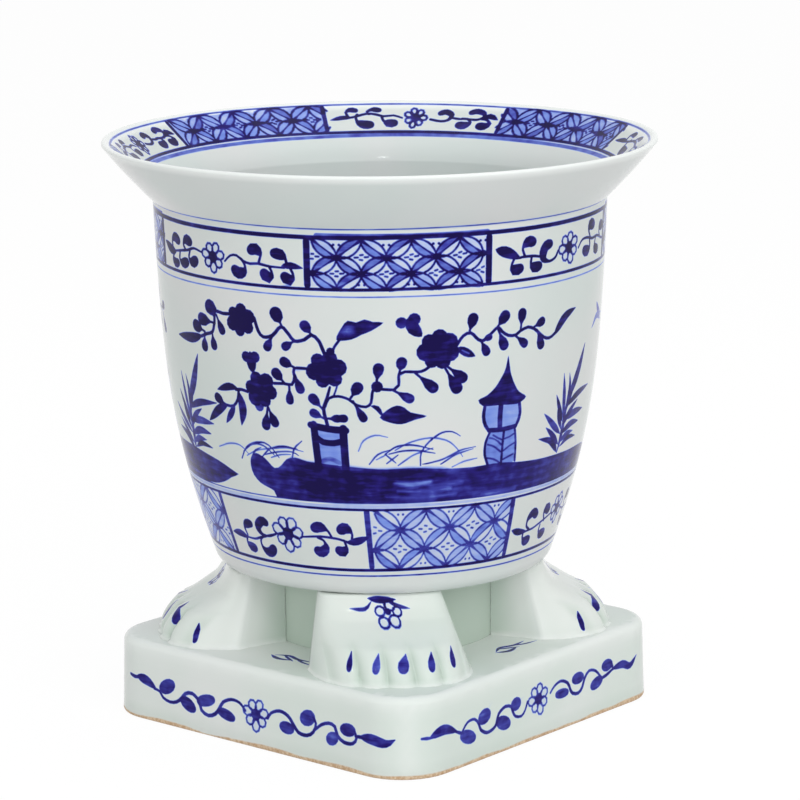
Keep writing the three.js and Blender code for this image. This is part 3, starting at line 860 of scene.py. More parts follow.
    def bird(self) -> list[Mark]:
        """The small bird in the air beside the bamboo."""
        return [leaf([(171, 258.6), (182, 265), (197, 260)], 4.4, 0.5), leaf([(179, 274), (185, 268),
            (195, 263)], 5.0, 0.5), stroke([(185, 266), (201, 264)], 1.2, 0.45, (1, 0.3))]

    def bank(self) -> list[Mark]:
        """The ground in front, with lighter water streaks."""
        ground = area([(-94, 184), (-92.6, 190), (-88, 193.2), (-81, 190.4), (-74.5, 184.8), (-69, 187.2),
            (-64.6, 191.6), (-58, 193.2), (-50, 191.4), (-40, 190.6), (-22, 189.2), (0, 187.6), (20, 188),
            (40, 186.4), (60, 185.6), (80, 186), (100, 184), (120, 182.8), (150, 182), (180, 181),
            (200, 177.6), (216, 172.6), (224, 167.6), (212, 164.4), (160, 164.2), (100, 164.2), (40, 164.4),
            (-20, 164.4), (-60, 164.6), (-76, 165.4), (-77.6, 169.2), (-82, 171), (-88, 173.4),
            (-92.6, 178)], 0.8)
        deep = area([(-62, 192), (-50, 190.4), (-30, 189.4), (-5, 187), (20, 187.4), (42, 185.6), (48, 181),
            (30, 177), (46, 172), (36, 166), (0, 165.4), (-40, 165.6), (-54, 172), (-60, 180)], 0.97)
        ways = [([(8, 178.4), (20, 177.2), (32, 178.6)], 4.4, -0.5), ([(26, 176.4), (40, 175.4),
            (54, 176.6)], 3.0, -0.2), ([(10, 172.8), (28, 172), (46, 173)], 3.6, -0.42), ([(-20, 182.8),
            (8, 181.6), (34, 182.6)], 2.4, -0.16), ([(2, 169), (24, 168), (50, 168.8)], 3.2, -0.36),
            ([(70, 166.4), (84, 166), (98, 166.6)], 2.6, -0.34)]
        streaks = [replace(stroke(way, width, load, (0.3, 0.3)), edge=1.4) for way, width, load in ways]
        return [ground, replace(deep, edge=2.8), *streaks]

    def bank_left(self) -> list[Mark]:
        """The ground of the garden to the left, which runs out in a long tongue."""
        turn = SHEET_TURN / 3
        ground = area([(-94, 184), (-88, 193), (-74.5, 184.8), (-58, 193), (-30, 190), (20, 188), (60, 186),
            (100, 186.6), (133, 186.6), (153, 184.8), (168, 182.4), (180, 178.6), (186, 176.4), (178, 173),
            (168, 168.4), (150, 165.2), (100, 164.4), (20, 164.4), (-60, 164.6), (-78, 168),
            (-92, 178)], 0.82, 5)
        return [ground, stroke([(100, 168), (turn - 150, 168.4)], 2.0, -0.2, (0.2, 0.2))]

    def bank_back(self) -> list[Mark]:
        """The shorter ground at the back."""
        return [area([(-50, 178), (-44, 190), (-22, 189.2), (20, 188), (60, 186), (96, 184), (112, 178),
            (108, 168), (80, 164.4), (20, 164.4), (-30, 165)], 0.84, 5)]


@dataclass(frozen=True)
class WallPainting:
    """Everything painted on the bowl's wall, from the foot band up to the neck band."""

    neck: Band = Band(303.0, 332.6, (-171, -44, 66, 186, 277, 391, 483, 597, 708.6),
                      Diaper((302.0, 311.6, 321.6, 332.6), -26.0, 29.3, 8.6, 1.3, 0.98))
    foot: Band = Band(119.6, 160.0, (-132, -9, 101, 222, 317, 435.6, 532, 650, 747.6),
                      Diaper((119.6, 132.6, 146.4, 160.0), 12.0, 36.0, 10.2, 1.3, 0.73), -0.06)

    def marks(self) -> list[Mark]:
        """Every mark, each repeated where it runs over the sheet's ends."""
        found = self.neck.marks(NECK_LEFT.marks, NECK_RIGHT.marks)
        found += self.foot.marks(FOOT_LEFT.marks, FOOT_RIGHT.marks)
        found += Garden().marks()
        return wrapped(found, 0.5 * SHEET_TURN) + self.lines()

    def lines(self) -> list[Mark]:
        """The lines round the bowl, above and below each band."""
        lattice = [x for k in (1, 3, 5, 7) for x in (self.neck.borders[k], self.neck.borders[k + 1])]
        ends = zip(lattice[::2], lattice[1::2])
        caps = [stroke([(a + 6, 335.2), (b - 1, 335.0)], 2.8, 0.56) for a, b in ends]
        return [circle_line(339.3, 1.0, 0.6), circle_line(333.9, 2.6, 0.98), circle_line(301.9, 1.9, 0.95),
                circle_line(297.2, 1.0, 0.5), circle_line(164.9, 0.8, 0.7), circle_line(160.3, 1.6, 0.95),
                circle_line(162.6, 2.2, 0.2), circle_line(118.7, 2.0, 0.95), circle_line(114.3, 1.1, 0.7),
                *wrapped(caps, 0.5 * SHEET_TURN)]


def wrapped(marks: list[Mark], half_turn: float) -> list[Mark]:
    """Marks brought into a sheet that joins itself, given twice where they cross its ends.

    Args:
        marks: the marks, anywhere along the sheet.
        half_turn: half the length of the sheet.

    Returns:
        The marks in their places.
    """
    found = []
    for mark in marks:
        low, high = mark.reach()
        shift = -2 * half_turn * math.floor((0.5 * (low[0] + high[0]) + half_turn) / (2 * half_turn))
        found.append(mark.moved(shift))
        if low[0] + shift < -half_turn:
            found.append(mark.moved(shift + 2 * half_turn))
        if high[0] + shift > half_turn:
            found.append(mark.moved(shift - 2 * half_turn))
    return found


# ---- skins ----------------------------------------------------------------------------


@dataclass
class Patch:
    """A part of a skin: its points in millimetres, its faces and what each point carries."""

    points: np.ndarray
    faces: list[tuple[int, ...]]
    cobalt: np.ndarray
    facing: np.ndarray  # outward direction, zero where the mesh's own will do
    chart: np.ndarray  # place on a flat chart, in millimetres
    pool: np.ndarray | None = None  # how thickly the glaze has gathered, above zero also painted shade; below zero a painted highlight


@dataclass(frozen=True)
class Sheet:
    """A flat sheet that is painted and then laid on a surface."""

    left: float
    right: float
    columns: np.ndarray  # places along its top and foot
    rows: np.ndarray  # places along its two sides
    surface: Surface  # from the sheet to space
    turned_over: bool = False  # whether its face would point inwards
    loops: tuple[np.ndarray, ...] = ()  # its border and its holes, where it isn't a rectangle

    def skin(self, marks: list[Mark], lines: Sequence[float] = ()) -> Patch:
        """The sheet with its marks cut in, laid on its surface.

        Args:
            marks: what is painted on it.
            lines: heights at which a crease runs across it.

        Returns:
            The finished patch.
        """
        low, high = float(self.rows[0]), float(self.rows[-1])
        lines_cut: list[tuple[np.ndarray, np.ndarray]] = []
        foot = np.stack([self.columns, np.full(len(self.columns), low)], 1)
        side = np.stack([np.full(len(self.rows), self.right), self.rows], 1)
        top = np.stack([self.columns[::-1], np.full(len(self.columns), high)], 1)
        back = np.stack([np.full(len(self.rows), self.left), self.rows[::-1]], 1)
        for loop in self.loops or (np.vstack([foot[:-1], side[:-1], top[:-1], back[:-1]]),):
            lines_cut.append((loop, np.ones(len(loop), bool)))
        for height in lines:
            level = np.stack([self.columns, np.full(len(self.columns), height)], 1)
            lines_cut.append((level, np.arange(len(level)) < len(level) - 1))
        lines_cut += shown(marks)
        edges, count = [], 0
        for line, linked in lines_cut:
            after = np.roll(np.arange(len(line)), -1) + count
            edges += [(count + int(i), int(after[i])) for i in np.flatnonzero(linked)]
            count += len(line)
        drawn = np.vstack([line for line, _ in lines_cut])
        loose = self._filler(drawn, low, high)
        every = np.vstack([drawn, loose])
        spots = [Vector(p) for p in every.tolist()]
        found, _, faces, *_ = delaunay_2d_cdt(spots, edges, [], 0, 0.004, False)
        flat = np.array([tuple(v) for v in found])
        corners = np.array(faces, int)
        middle = flat[corners].mean(1)
        kept = ((middle[:, 0] > self.left) & (middle[:, 0] < self.right) & (middle[:, 1] > low)
                & (middle[:, 1] < high))
        for k, loop in enumerate(self.loops):
            kept &= within(middle, loop) == (k == 0)
        corners = corners[kept]
        used, corners = np.unique(corners, return_inverse=True)
        corners = corners.reshape(-1, 3)
        flat = flat[used]
        flat[:, 0] = np.clip(flat[:, 0], self.left, self.right)
        cobalt = painted(flat, marks)
        points, facing = self._laid(flat)
        if self.turned_over:
            corners = corners[:, ::-1]
            facing = -facing
        return Patch(points, [tuple(c) for c in corners.tolist()], cobalt, facing, flat.copy())

    def _laid(self, flat: np.ndarray) -> tuple[np.ndarray, np.ndarray]:
        """The sheet's points in space, and the direction in which its skin faces there."""
        tiny = 0.05
        across = self.surface(flat + [tiny, 0]) - self.surface(flat - [tiny, 0])
        up = self.surface(flat + [0, tiny]) - self.surface(flat - [0, tiny])
        facing = np.cross(across, up)
        return self.surface(flat), facing / np.maximum(np.linalg.norm(facing, axis=1, keepdims=True), 1e-12)

    def _filler(self, drawn: np.ndarray, low: float, high: float) -> np.ndarray:
        """Loose points between the marks, so that the skin follows its surface."""
        rows = max(2, int(round((high - low) / (FILLER * 0.87))))
        heights = np.linspace(low, high, rows + 1)[1:-1]
        spots = []
        for k, y in enumerate(heights):
            x = np.arange(self.left + FILLER * (0.5 if k % 2 else 1.0), self.right - 0.4 * FILLER, FILLER)
            spots.append(np.stack([x, np.full(len(x), y)], 1))
        loose = np.vstack(spots) if spots else np.zeros((0, 2))
        tree = kdtree.KDTree(len(drawn))
        for i, (x, y) in enumerate(drawn.tolist()):
            tree.insert((x, y, 0), i)
        tree.balance()
        clear = [tree.find((x, y, 0))[2] > 0.36 * FILLER for x, y in loose.tolist()]
        return loose[np.array(clear, bool)] if len(loose) else loose


def shown(marks: list[Mark]) -> list[tuple[np.ndarray, np.ndarray]]:
    """The contours of marks where no darker paint hides them.

    Args:
        marks: the marks of one sheet.

    Returns:
        Lines, each with which of its points are linked to the next one, the last one to the first.
    """
    reaches = [mark.reach() for mark in marks]
    low, high = np.array([r[0] for r in reaches]), np.array([r[1] for r in reaches])
    loads = np.array([mark.load for mark in marks])
    found = []
    for k, mark in enumerate(marks):
        near = (low < high[k]).all(1) & (high > low[k]).all(1) & (loads >= mark.load) & (mark.load > 0)
        over = [marks[i] for i in np.flatnonzero(near) if i != k]
        for line, closed in mark.contours():
            seen = np.ones(len(line), bool)
            for other in over:
                seen &= other.depth(line) < other.edge + 0.05
            kept = seen | np.roll(seen, 1) | np.roll(seen, -1)
            linked = kept & np.roll(kept, -1)
            if not closed:
                linked[-1] = False
            found.append((line[kept], linked[kept]))
    return [(line, linked) for line, linked in found if len(line)]


def within(places: np.ndarray, loop: np.ndarray) -> np.ndarray:
    """Which places lie inside a closed loop.

    Args:
        places: the places, (n, 2).
        loop: the loop's points, (m, 2).

    Returns:
        One truth value for each place.
    """
    after = np.roll(loop, -1, 0)
    x, y = places[:, :1], places[:, 1:]
    spans = (loop[:, 1] > y) != (after[:, 1] > y)
    with np.errstate(divide="ignore", invalid="ignore"):
        run, rise = after[:, 0] - loop[:, 0], after[:, 1] - loop[:, 1]
        left_of = x < run * (y - loop[:, 1]) / rise + loop[:, 0]
    return (spans & left_of).sum(1) % 2 == 1


def painted(flat: np.ndarray, marks: list[Mark]) -> np.ndarray:
    """How much cobalt lies at each place of a sheet.

    Args:
        flat: the places, (n, 2).
        marks: the marks of the sheet.

    Returns:
        The cobalt at each place, 0 to 1.
    """
    laid = np.zeros(len(flat))
    lifted = np.ones(len(flat))
    order = np.argsort(flat[:, 0])
    across = flat[order, 0]
    for mark in marks:
        low, high = mark.reach()
        first, last = np.searchsorted(across, [low[0], high[0]])
        near = order[first:last]
        near = near[(flat[near, 1] > low[1]) & (flat[near, 1] < high[1])]
        if not len(near):
            continue
        cover = mark.cover(flat[near])
        if mark.load < 0:
            lifted[near] = np.minimum(lifted[near], 1 + mark.load * cover)
        else:
            laid[near] = np.maximum(laid[near], mark.load * cover)
    return laid * lifted


def grid_patch(rows: list[np.ndarray], joined: bool, turned_over: bool = False) -> Patch:
    """Skin between rows of points, each row with the same count.

    Args:
        rows: the rows, from the first edge to the last.
        joined: whether each row comes back to its start.
        turned_over: whether its face would point inwards.

    Returns:
        The patch, with no paint on it.
    """
    count = len(rows[0])
    faces = []
    for r in range(len(rows) - 1):
        for i in range(count if joined else count - 1):
            j = (i + 1) % count
            quad = (r * count + i, r * count + j, (r + 1) * count + j, (r + 1) * count + i)
            faces.append(quad[::-1] if turned_over else quad)
    points = np.vstack(rows)
    along = np.cumsum([0.0] + [float(np.linalg.norm(b - a, axis=1).mean()) for a, b in zip(rows, rows[1:])])
    span = float(np.linalg.norm(np.diff(rows[0], axis=0), axis=1).sum())
    chart = np.stack([np.tile(np.linspace(0, span, count), len(rows)), np.repeat(along, count)], 1)
    return Patch(points, faces, np.zeros(len(points)), np.zeros((len(points), 3)), chart)


def cap_patch(ring: np.ndarray, turned_over: bool = False) -> Patch:
    """A flat lid over a ring of points.

    Args:
        ring: its points, in order.
        turned_over: whether its face would point inwards.

    Returns:
        The patch, with no paint on it.
    """
    points = np.vstack([ring, ring.mean(0)])
    n = len(ring)
    faces = [(i, (i + 1) % n, n) for i in range(n)]
    if turned_over:
        faces = [f[::-1] for f in faces]
    return Patch(points, faces, np.zeros(n + 1), np.zeros((n + 1, 3)), points[:, :2].copy())


@dataclass
class Shell:
    """A closed skin put together from patches."""

    name: str
    patches: list[Patch] = field(default_factory=list)

    def close(self, finish: bpy.types.Material) -> bpy.types.Object:
        """Joins the patches into one closed mesh.

        Args:
            finish: its material.

        Returns:
            The piece, in metres, linked to the scene.
        """
        points = np.vstack([p.points for p in self.patches]) * MM
        cobalt = np.concatenate([p.cobalt for p in self.patches])
        facing = np.vstack([p.facing for p in self.patches])
        pool = np.concatenate([np.zeros(len(p.points)) if p.pool is None else p.pool for p in self.patches])
        chart = self._charts()
        faces: list[tuple[int, ...]] = []
        start = 0
        for patch in self.patches:
            faces += [tuple(i + start for i in face) for face in patch.faces]
            start += len(patch.points)
        mesh = bpy.data.meshes.new(self.name)
        mesh.from_pydata(points.tolist(), [], faces)
        mesh.attributes.new("cobalt", "FLOAT", "POINT").data.foreach_set("value", cobalt)
        mesh.attributes.new("pool", "FLOAT", "POINT").data.foreach_set("value", pool)
        mesh.attributes.new("facing", "FLOAT_VECTOR", "POINT").data.foreach_set("vector", facing.ravel())
        corners = np.zeros(len(mesh.loops), int)
        mesh.loops.foreach_get("vertex_index", corners)
        layer = mesh.uv_layers.new(name="OFBake")
        layer.data.foreach_set("uv", chart[corners].ravel())
        work = bmesh.new()
        work.from_mesh(mesh)
        bmesh.ops.remove_doubles(work, verts=work.verts, dist=0.008 * MM)
        bmesh.ops.dissolve_degenerate(work, edges=work.edges, dist=0.002 * MM)
        open_edges = sum(1 for e in work.edges if not e.is_manifold)
        work.to_mesh(mesh)
        work.free()
        count = len(mesh.vertices)
        kept = np.zeros(count * 3)
        mesh.attributes["facing"].data.foreach_get("vector", kept)
        mesh.attributes.remove(mesh.attributes["facing"])
        mesh.polygons.foreach_set("use_smooth", np.ones(len(mesh.polygons), bool))
        mesh.set_sharp_from_angle(angle=math.radians(40))
        mesh.normals_split_custom_set_from_vertices(kept.reshape(-1, 3).tolist())
        mesh.materials.append(finish)
        mesh.update()
        piece = bpy.data.objects.new(self.name, mesh)
        bpy.context.scene.collection.objects.link(piece)
        log.info("%s: %d faces, %d open edges", self.name, len(mesh.polygons), open_edges)
        return piece

    def _charts(self) -> np.ndarray:
        """The patches' charts laid out side by side on one square."""
        spots, height, width = [], 0.0, 0.0
        for patch in self.patches:
            low = patch.chart.min(0)
            spots.append(patch.chart - low + [0.0, height])
            size = patch.chart.max(0) - low
            height += float(size[1]) + 6.0
            width = max(width, float(size[0]))
        side = max(height, width) * 1.01
        return np.vstack(spots) / side + 0.004


@dataclass(frozen=True)
class TurnedTree:
    """A Geometry Nodes tree that turns an outline of (radius, height) points about the upright axis."""

    name: str = "turned_on_the_wheel"

    def build(self) -> bpy.types.NodeTree:
        """Builds the tree, with the outline as its geometry and the columns and finish as inputs."""
        tree = bpy.data.node_groups.new(self.name, "GeometryNodeTree")
        tree.is_modifier = True
        face = tree.interface
        face.new_socket("Outline", in_out="INPUT", socket_type="NodeSocketGeometry")
        face.new_socket("Columns", in_out="INPUT", socket_type="NodeSocketInt").default_value = COLUMNS
        face.new_socket("Start", in_out="INPUT", socket_type="NodeSocketFloat").default_value = 0.0
        face.new_socket("Finish", in_out="INPUT", socket_type="NodeSocketMaterial")
        face.new_socket("Turned", in_out="OUTPUT", socket_type="NodeSocketGeometry")
        board = Board(tree)
        entry = tree.nodes.new("NodeGroupInput")
        outline, columns, start, finish = (Wire(board, entry.outputs[i]) for i in range(4))
        rows = board.node("GeometryNodeAttributeDomainSize", {"component": "MESH"}, {"Geometry": outline})
        grid = board.node("GeometryNodeMeshGrid", {}, {"Size X": columns, "Size Y": rows - 1,
                                                       "Vertices X": columns + 1, "Vertices Y": rows})
        spot = board.node("GeometryNodeInputPosition", {}, {})
        parts = board.node("ShaderNodeSeparateXYZ", {}, {0: spot})
        column = (parts + columns * 0.5).rounded()
        row = (parts.sibling(1) + (rows - 1) * 0.5).rounded()
        place = board.node("GeometryNodeSampleIndex", {"data_type": "FLOAT_VECTOR", "domain": "POINT"},
                           {"Geometry": outline, "Value": spot, "Index": row})
        held = board.node("ShaderNodeSeparateXYZ", {}, {0: place})
        angle = column * (2 * math.pi) / columns + start
        turned = board.node("ShaderNodeCombineXYZ", {}, {0: held * angle.cosine(), 1: held * angle.sine(),
                                                         2: held.sibling(2)})
        label = board.node("ShaderNodeCombineXYZ", {}, {0: column, 1: row})
        stored = board.node("GeometryNodeStoreNamedAttribute",
                            {"data_type": "FLOAT_VECTOR", "domain": "POINT"},
                            {"Geometry": grid, "Name": "place", "Value": label})
        shaped = board.node("GeometryNodeSetPosition", {}, {"Geometry": stored, "Position": turned})
        real = board.node("GeometryNodeRealizeInstances", {}, {"Geometry": shaped})
        last = board.node("GeometryNodeSetMaterial", {}, {"Geometry": real, "Material": finish})
        out = tree.nodes.new("NodeGroupOutput")
        tree.links.new(last.socket, out.inputs[0])
        return tree


@dataclass
class Wheel:
    """Turns outlines with the tree and hands them back as patches."""

    tree: bpy.types.NodeTree
    finish: bpy.types.Material

    def turn(self, outline: list[Spot], start: float = 0.0, columns: int = COLUMNS) -> Patch:
        """An outline turned about the upright axis.

        Args:
            outline: (radius, height) in millimetres, up the outside and down the inside.
            start: angle of its first column.
            columns: facets round it.

        Returns:
            The open patch; its first and last columns lie on each other.
        """
        mesh = bpy.data.meshes.new("outline")
        mesh.from_pydata([(r * MM, 0.0, z * MM) for r, z in outline], [], [])
        blank = bpy.data.objects.new("outline", mesh)
        bpy.context.scene.collection.objects.link(blank)
        modifier = blank.modifiers.new("turned", "NODES")
        modifier.node_group = self.tree
        sockets = {s.name: s.identifier for s in self.tree.interface.items_tree if s.in_out == "INPUT"}
        modifier[sockets["Columns"]] = columns
        modifier[sockets["Start"]] = start
        modifier[sockets["Finish"]] = self.finish
        graph = bpy.context.evaluated_depsgraph_get()
        plain = bpy.data.meshes.new_from_object(blank.evaluated_get(graph), depsgraph=graph)
        blank.modifiers.remove(modifier)
        count = len(plain.vertices)
        points = np.zeros(count * 3)
        plain.vertices.foreach_get("co", points)
        place = np.zeros(count * 3)
        plain.attributes["place"].data.foreach_get("vector", place)
        points, place = points.reshape(-1, 3) / MM, place.reshape(-1, 3)
        faces = [tuple(p.vertices) for p in plain.polygons]
        line = np.array(outline)
        along = np.concatenate([[0.0], np.cumsum(np.linalg.norm(np.diff(line, axis=0), axis=1))])
        row = np.rint(place[:, 1]).astype(int)
        reach = 2 * math.pi * float(line[:, 0].max())
        chart = np.stack([place[:, 0] / columns * reach, along[row]], 1)
        way = headings(line)
        angle = place[:, 0] / columns * 2 * math.pi + start
        out, up = way[row, 1], -way[row, 0]
        facing = np.stack([out * np.cos(angle), out * np.sin(angle), up], 1)
        bpy.data.objects.remove(blank)
        bpy.data.meshes.remove(mesh)
        bpy.data.meshes.remove(plain)
        if self._inward(points, faces, facing):
            faces = [face[::-1] for face in faces]
        return Patch(points, faces, np.zeros(count), facing, chart)

    @staticmethod
    def _inward(points: np.ndarray, faces: list[tuple[int, ...]], facing: np.ndarray) -> bool:
        """Whether the faces point against the outline's outward side."""
        f = np.array([face[:3] for face in faces[:: max(1, len(faces) // 200)]])
        normal = np.cross(points[f[:, 1]] - points[f[:, 0]], points[f[:, 2]] - points[f[:, 0]])
        return float((normal * facing[f[:, 0]]).sum(1).sum()) < 0


# ---- node boards ----------------------------------------------------------------------


@dataclass(frozen=True)
class Wire:
    """An output socket that can be reckoned with."""

    board: "Board"
    socket: bpy.types.NodeSocket

    def _sum(self, operation: str, *values: object) -> "Wire":
        """A Math node over values."""
        return self.board.node("ShaderNodeMath", {"operation": operation}, dict(enumerate(values)))

    def __add__(self, other: object) -> "Wire":
        """Sum."""
        return self._sum("ADD", self, other)

    __radd__ = __add__

    def __sub__(self, other: object) -> "Wire":
        """Difference."""
        return self._sum("SUBTRACT", self, other)

    def __rsub__(self, other: object) -> "Wire":
        """Difference from a number."""
        return self._sum("SUBTRACT", other, self)

    def __mul__(self, other: object) -> "Wire":
        """Product."""
        return self._sum("MULTIPLY", self, other)

    __rmul__ = __mul__

    def __truediv__(self, other: object) -> "Wire":
        """Quotient."""
        return self._sum("DIVIDE", self, other)

    def rounded(self) -> "Wire":
        """The nearest whole number."""
        return self._sum("ROUND", self)

    def cosine(self) -> "Wire":
        """Cosine."""
        return self._sum("COSINE", self)

    def sine(self) -> "Wire":
        """Sine."""
        return self._sum("SINE", self)

    def kept(self, low: float = 0.0, high: float = 1.0) -> "Wire":
        """Held between two values."""
        return self._sum("MINIMUM", self._sum("MAXIMUM", self, low), high)

    def over(self, low: float, high: float) -> "Wire":
        """Smooth step from 0 at low to 1 at high."""
        return self.board.node("ShaderNodeMapRange", {"interpolation_type": "SMOOTHSTEP"},
                               {"Value": self, "From Min": low, "From Max": high})

    def sibling(self, index: int | str) -> "Wire":
        """Another output of the same node."""
        return Wire(self.board, self.socket.node.outputs[index])


@dataclass(frozen=True)
class Board:
    """A node tree that nodes are added to."""

    tree: bpy.types.NodeTree

    def node(self, kind: str, settings: dict[str, object], values: dict[object, object],
             output: int = 0) -> Wire:
        """Adds a node.

        Args:
            kind: its type.
            settings: its settings, with "stops" for a ramp's colours.
            values: its sockets by name or index, each a Wire or a plain value.
            output: which output is wanted.

        Returns:
            That output.
        """
        made = self.tree.nodes.new(kind)
        for key, value in settings.items():
            if key == "stops":
                ramp = made.color_ramp
                while len(ramp.elements) < len(value):
                    ramp.elements.new(0.5)
                for element, (place, colour) in zip(ramp.elements, value):
                    element.position = place
                    element.color = (*colour, 1.0)
            else:
                setattr(made, key, value)
        for key, value in values.items():
            target = made.inputs[key]
            if isinstance(value, Wire):
                self.tree.links.new(value.socket, target)
            else:
                target.default_value = value
        return Wire(self, made.outputs[output] if made.outputs else None)

    def mix(self, share: object, first: object, second: object) -> Wire:
        """Two colours mixed by a share.

        Args:
            share: how much of the second colour there is.
            first: the first colour.
            second: the second colour.

        Returns:
            The mixed colour.
        """
        made = self.tree.nodes.new("ShaderNodeMix")
        made.data_type = "RGBA"
        for target, value in ((made.inputs[0], share), (made.inputs[6], first), (made.inputs[7], second)):
            if isinstance(value, Wire):
                self.tree.links.new(value.socket, target)
            else:
                target.default_value = value if isinstance(value, float) else (*value, 1.0)
        return Wire(self, made.outputs[2])


# ---- finishes -------------------------------------------------------------------------


def shade(red: int, green: int, blue: int) -> Place:
    """A colour from its display values, 0 to 255."""
    def linear(value: int) -> float:
        """One channel as light."""
        v = value / 255
        return v / 12.92 if v <= 0.04045 else ((v + 0.055) / 1.055) ** 2.4
    return linear(red), linear(green), linear(blue)


@dataclass(frozen=True)
class Glaze:
    """Glossy whitish glaze over clay, with cobalt under it where the mesh carries any, and painted shade and
    painted highlights where the mesh asks for them.
    """

    name: str
    warm: Place
    cool: Place
    pooled_and_shaded: Place  # colour where the glaze has gathered, also used for painted shade
    bare_edge: float = 0.0  # height of the unglazed clay at the foot, in metres
    lip: float = 0.0  # height above which the rim gets a painted highlight, none where it is 0

    def material(self) -> bpy.types.Material:
        """Builds the material."""
        made = bpy.data.materials.new(self.name)
        made.use_nodes = True
        made.node_tree.nodes.clear()
        board = Board(made.node_tree)
        place = board.node("ShaderNodeTexCoord", {}, {}, 3)
        cobalt = board.node("ShaderNodeAttribute", {"attribute_name": "cobalt"}, {}, 2)
        pool = board.node("ShaderNodeAttribute", {"attribute_name": "pool"}, {}, 2)
        drift = board.node("ShaderNodeTexNoise", {}, {"Vector": place, "Scale": 9.0, "Detail": 2.0})
        cloud = board.node("ShaderNodeTexNoise", {}, {"Vector": place, "Scale": 46.0, "Detail": 3.0})
        lean = board.node("ShaderNodeMapping", {}, {"Vector": place, "Scale": (1.0, 1.0, 6.0)})
        brush = board.node("ShaderNodeTexNoise", {}, {"Vector": lean, "Scale": 52.0, "Detail": 4.0})
        dab = board.node("ShaderNodeTexNoise", {}, {"Vector": place, "Scale": 150.0, "Detail": 1.0})
        glaze = board.mix(drift.over(0.32, 0.68), self.warm, self.cool)
        # darker where the glaze has gathered, and painted shade laid on through the same attribute
        glaze = board.mix((pool * 0.9 + (cloud - 0.5) * 0.12).kept(), glaze, self.pooled_and_shaded)
        # painted highlight: lighter where the attribute is below zero
        glaze = board.mix((pool * -1.0).kept(), glaze, shade(238, 242, 239))
        # painted highlight along the lip: the glaze is lightened above the lip height
        if self.lip:
            up = board.node("ShaderNodeSeparateXYZ", {}, {0: place}).sibling(2)
            glaze = board.mix(up.over(self.lip, self.lip + 0.004) * 0.8, glaze, shade(238, 242, 240))
        inked = (cobalt * (1.02 + (brush - 0.5) * 0.8 + (dab - 0.5) * 0.5 + (cloud - 0.5) * 0.3)).kept()
        ink = board.node("ShaderNodeValToRGB", {"stops": [
            (0.0, shade(184, 202, 242)), (0.36, shade(114, 140, 222)), (0.6, shade(60, 64, 166)),
            (0.82, shade(32, 20, 114)), (1.0, shade(14, 0, 70))]}, {"Fac": inked})
        colour = board.mix(inked.over(0.0, 0.3), glaze, ink)
        rough = 0.13 + (cloud - 0.5) * 0.08
        coat = 0.09 - drift * 0.05
        pinholes = board.node("ShaderNodeTexVoronoi", {}, {"Vector": place, "Scale": 420.0})
        relief = (drift * 0.9 + cloud * 0.16 - (0.16 - pinholes).kept() * 0.25)
        if self.bare_edge:
            height = board.node("ShaderNodeSeparateXYZ", {}, {0: place}).sibling(2)
            ragged = board.node("ShaderNodeTexNoise", {}, {"Vector": place, "Scale": 16.0, "Detail": 5.0})
            edge = height + (0.5 - ragged) * (2.6 * self.bare_edge)
            bare = 1.0 - edge.over(0.72 * self.bare_edge, 1.1 * self.bare_edge)
            grain = board.node("ShaderNodeTexNoise", {}, {"Vector": place, "Scale": 600.0, "Detail": 4.0})
            clay = board.mix(grain.over(0.3, 0.7), shade(222, 200, 172), shade(196, 162, 128))
            colour = board.mix(bare, colour, clay)
            rough = rough + bare * 0.62
            coat = coat * (1.0 - bare)
            relief = relief + bare * grain * 0.35
        bump = board.node("ShaderNodeBump", {}, {"Strength": 0.22, "Distance": 0.0012, "Height": relief})
        shader = board.node("ShaderNodeBsdfPrincipled", {}, {
            "Base Color": colour, "Roughness": rough, "IOR": 1.5, "Specular IOR Level": 0.08,
            "Coat Weight": coat, "Coat Roughness": 0.04, "Normal": bump})
        board.node("ShaderNodeOutputMaterial", {}, {"Surface": shader})
        return made


# ---- the bowl -------------------------------------------------------------------------


def bend(a: Spot, b: Spot, c: Spot, steps: int) -> list[Spot]:
    """A quadratic curve from a to c pulled towards b, without its first point.

    Args:
        a: where it starts.
        b: what pulls it.
        c: where it ends.
        steps: how many points it has.

    Returns:
        Its points, each (radius, height).
    """
    t = np.linspace(0, 1, steps + 1)[1:, None]
    p, q, r = (np.array(v, float) for v in (a, b, c))
    return [tuple(v) for v in ((1 - t) ** 2 * p + 2 * t * (1 - t) * q + t**2 * r).tolist()]


def filleted(corners: list[Place], steps: int = 4) -> list[Spot]:
    """An outline through (radius, height, rounding) corners.

    Args:
        corners: the corners, each with the length of its rounding.
        steps: points on each rounding.

    Returns:
        The outline's points.
    """
    found: list[Spot] = []
    for k, (r, z, rounding) in enumerate(corners):
        here = np.array([r, z])
        if rounding <= 0 or k in (0, len(corners) - 1):
            found.append((r, z))
            continue
        before, after = np.array(corners[k - 1][:2]) - here, np.array(corners[k + 1][:2]) - here
        start = here + before / np.linalg.norm(before) * rounding
        end = here + after / np.linalg.norm(after) * rounding
        found.append(tuple(start))
        found += bend(tuple(start), (r, z), tuple(end), steps)
    return found


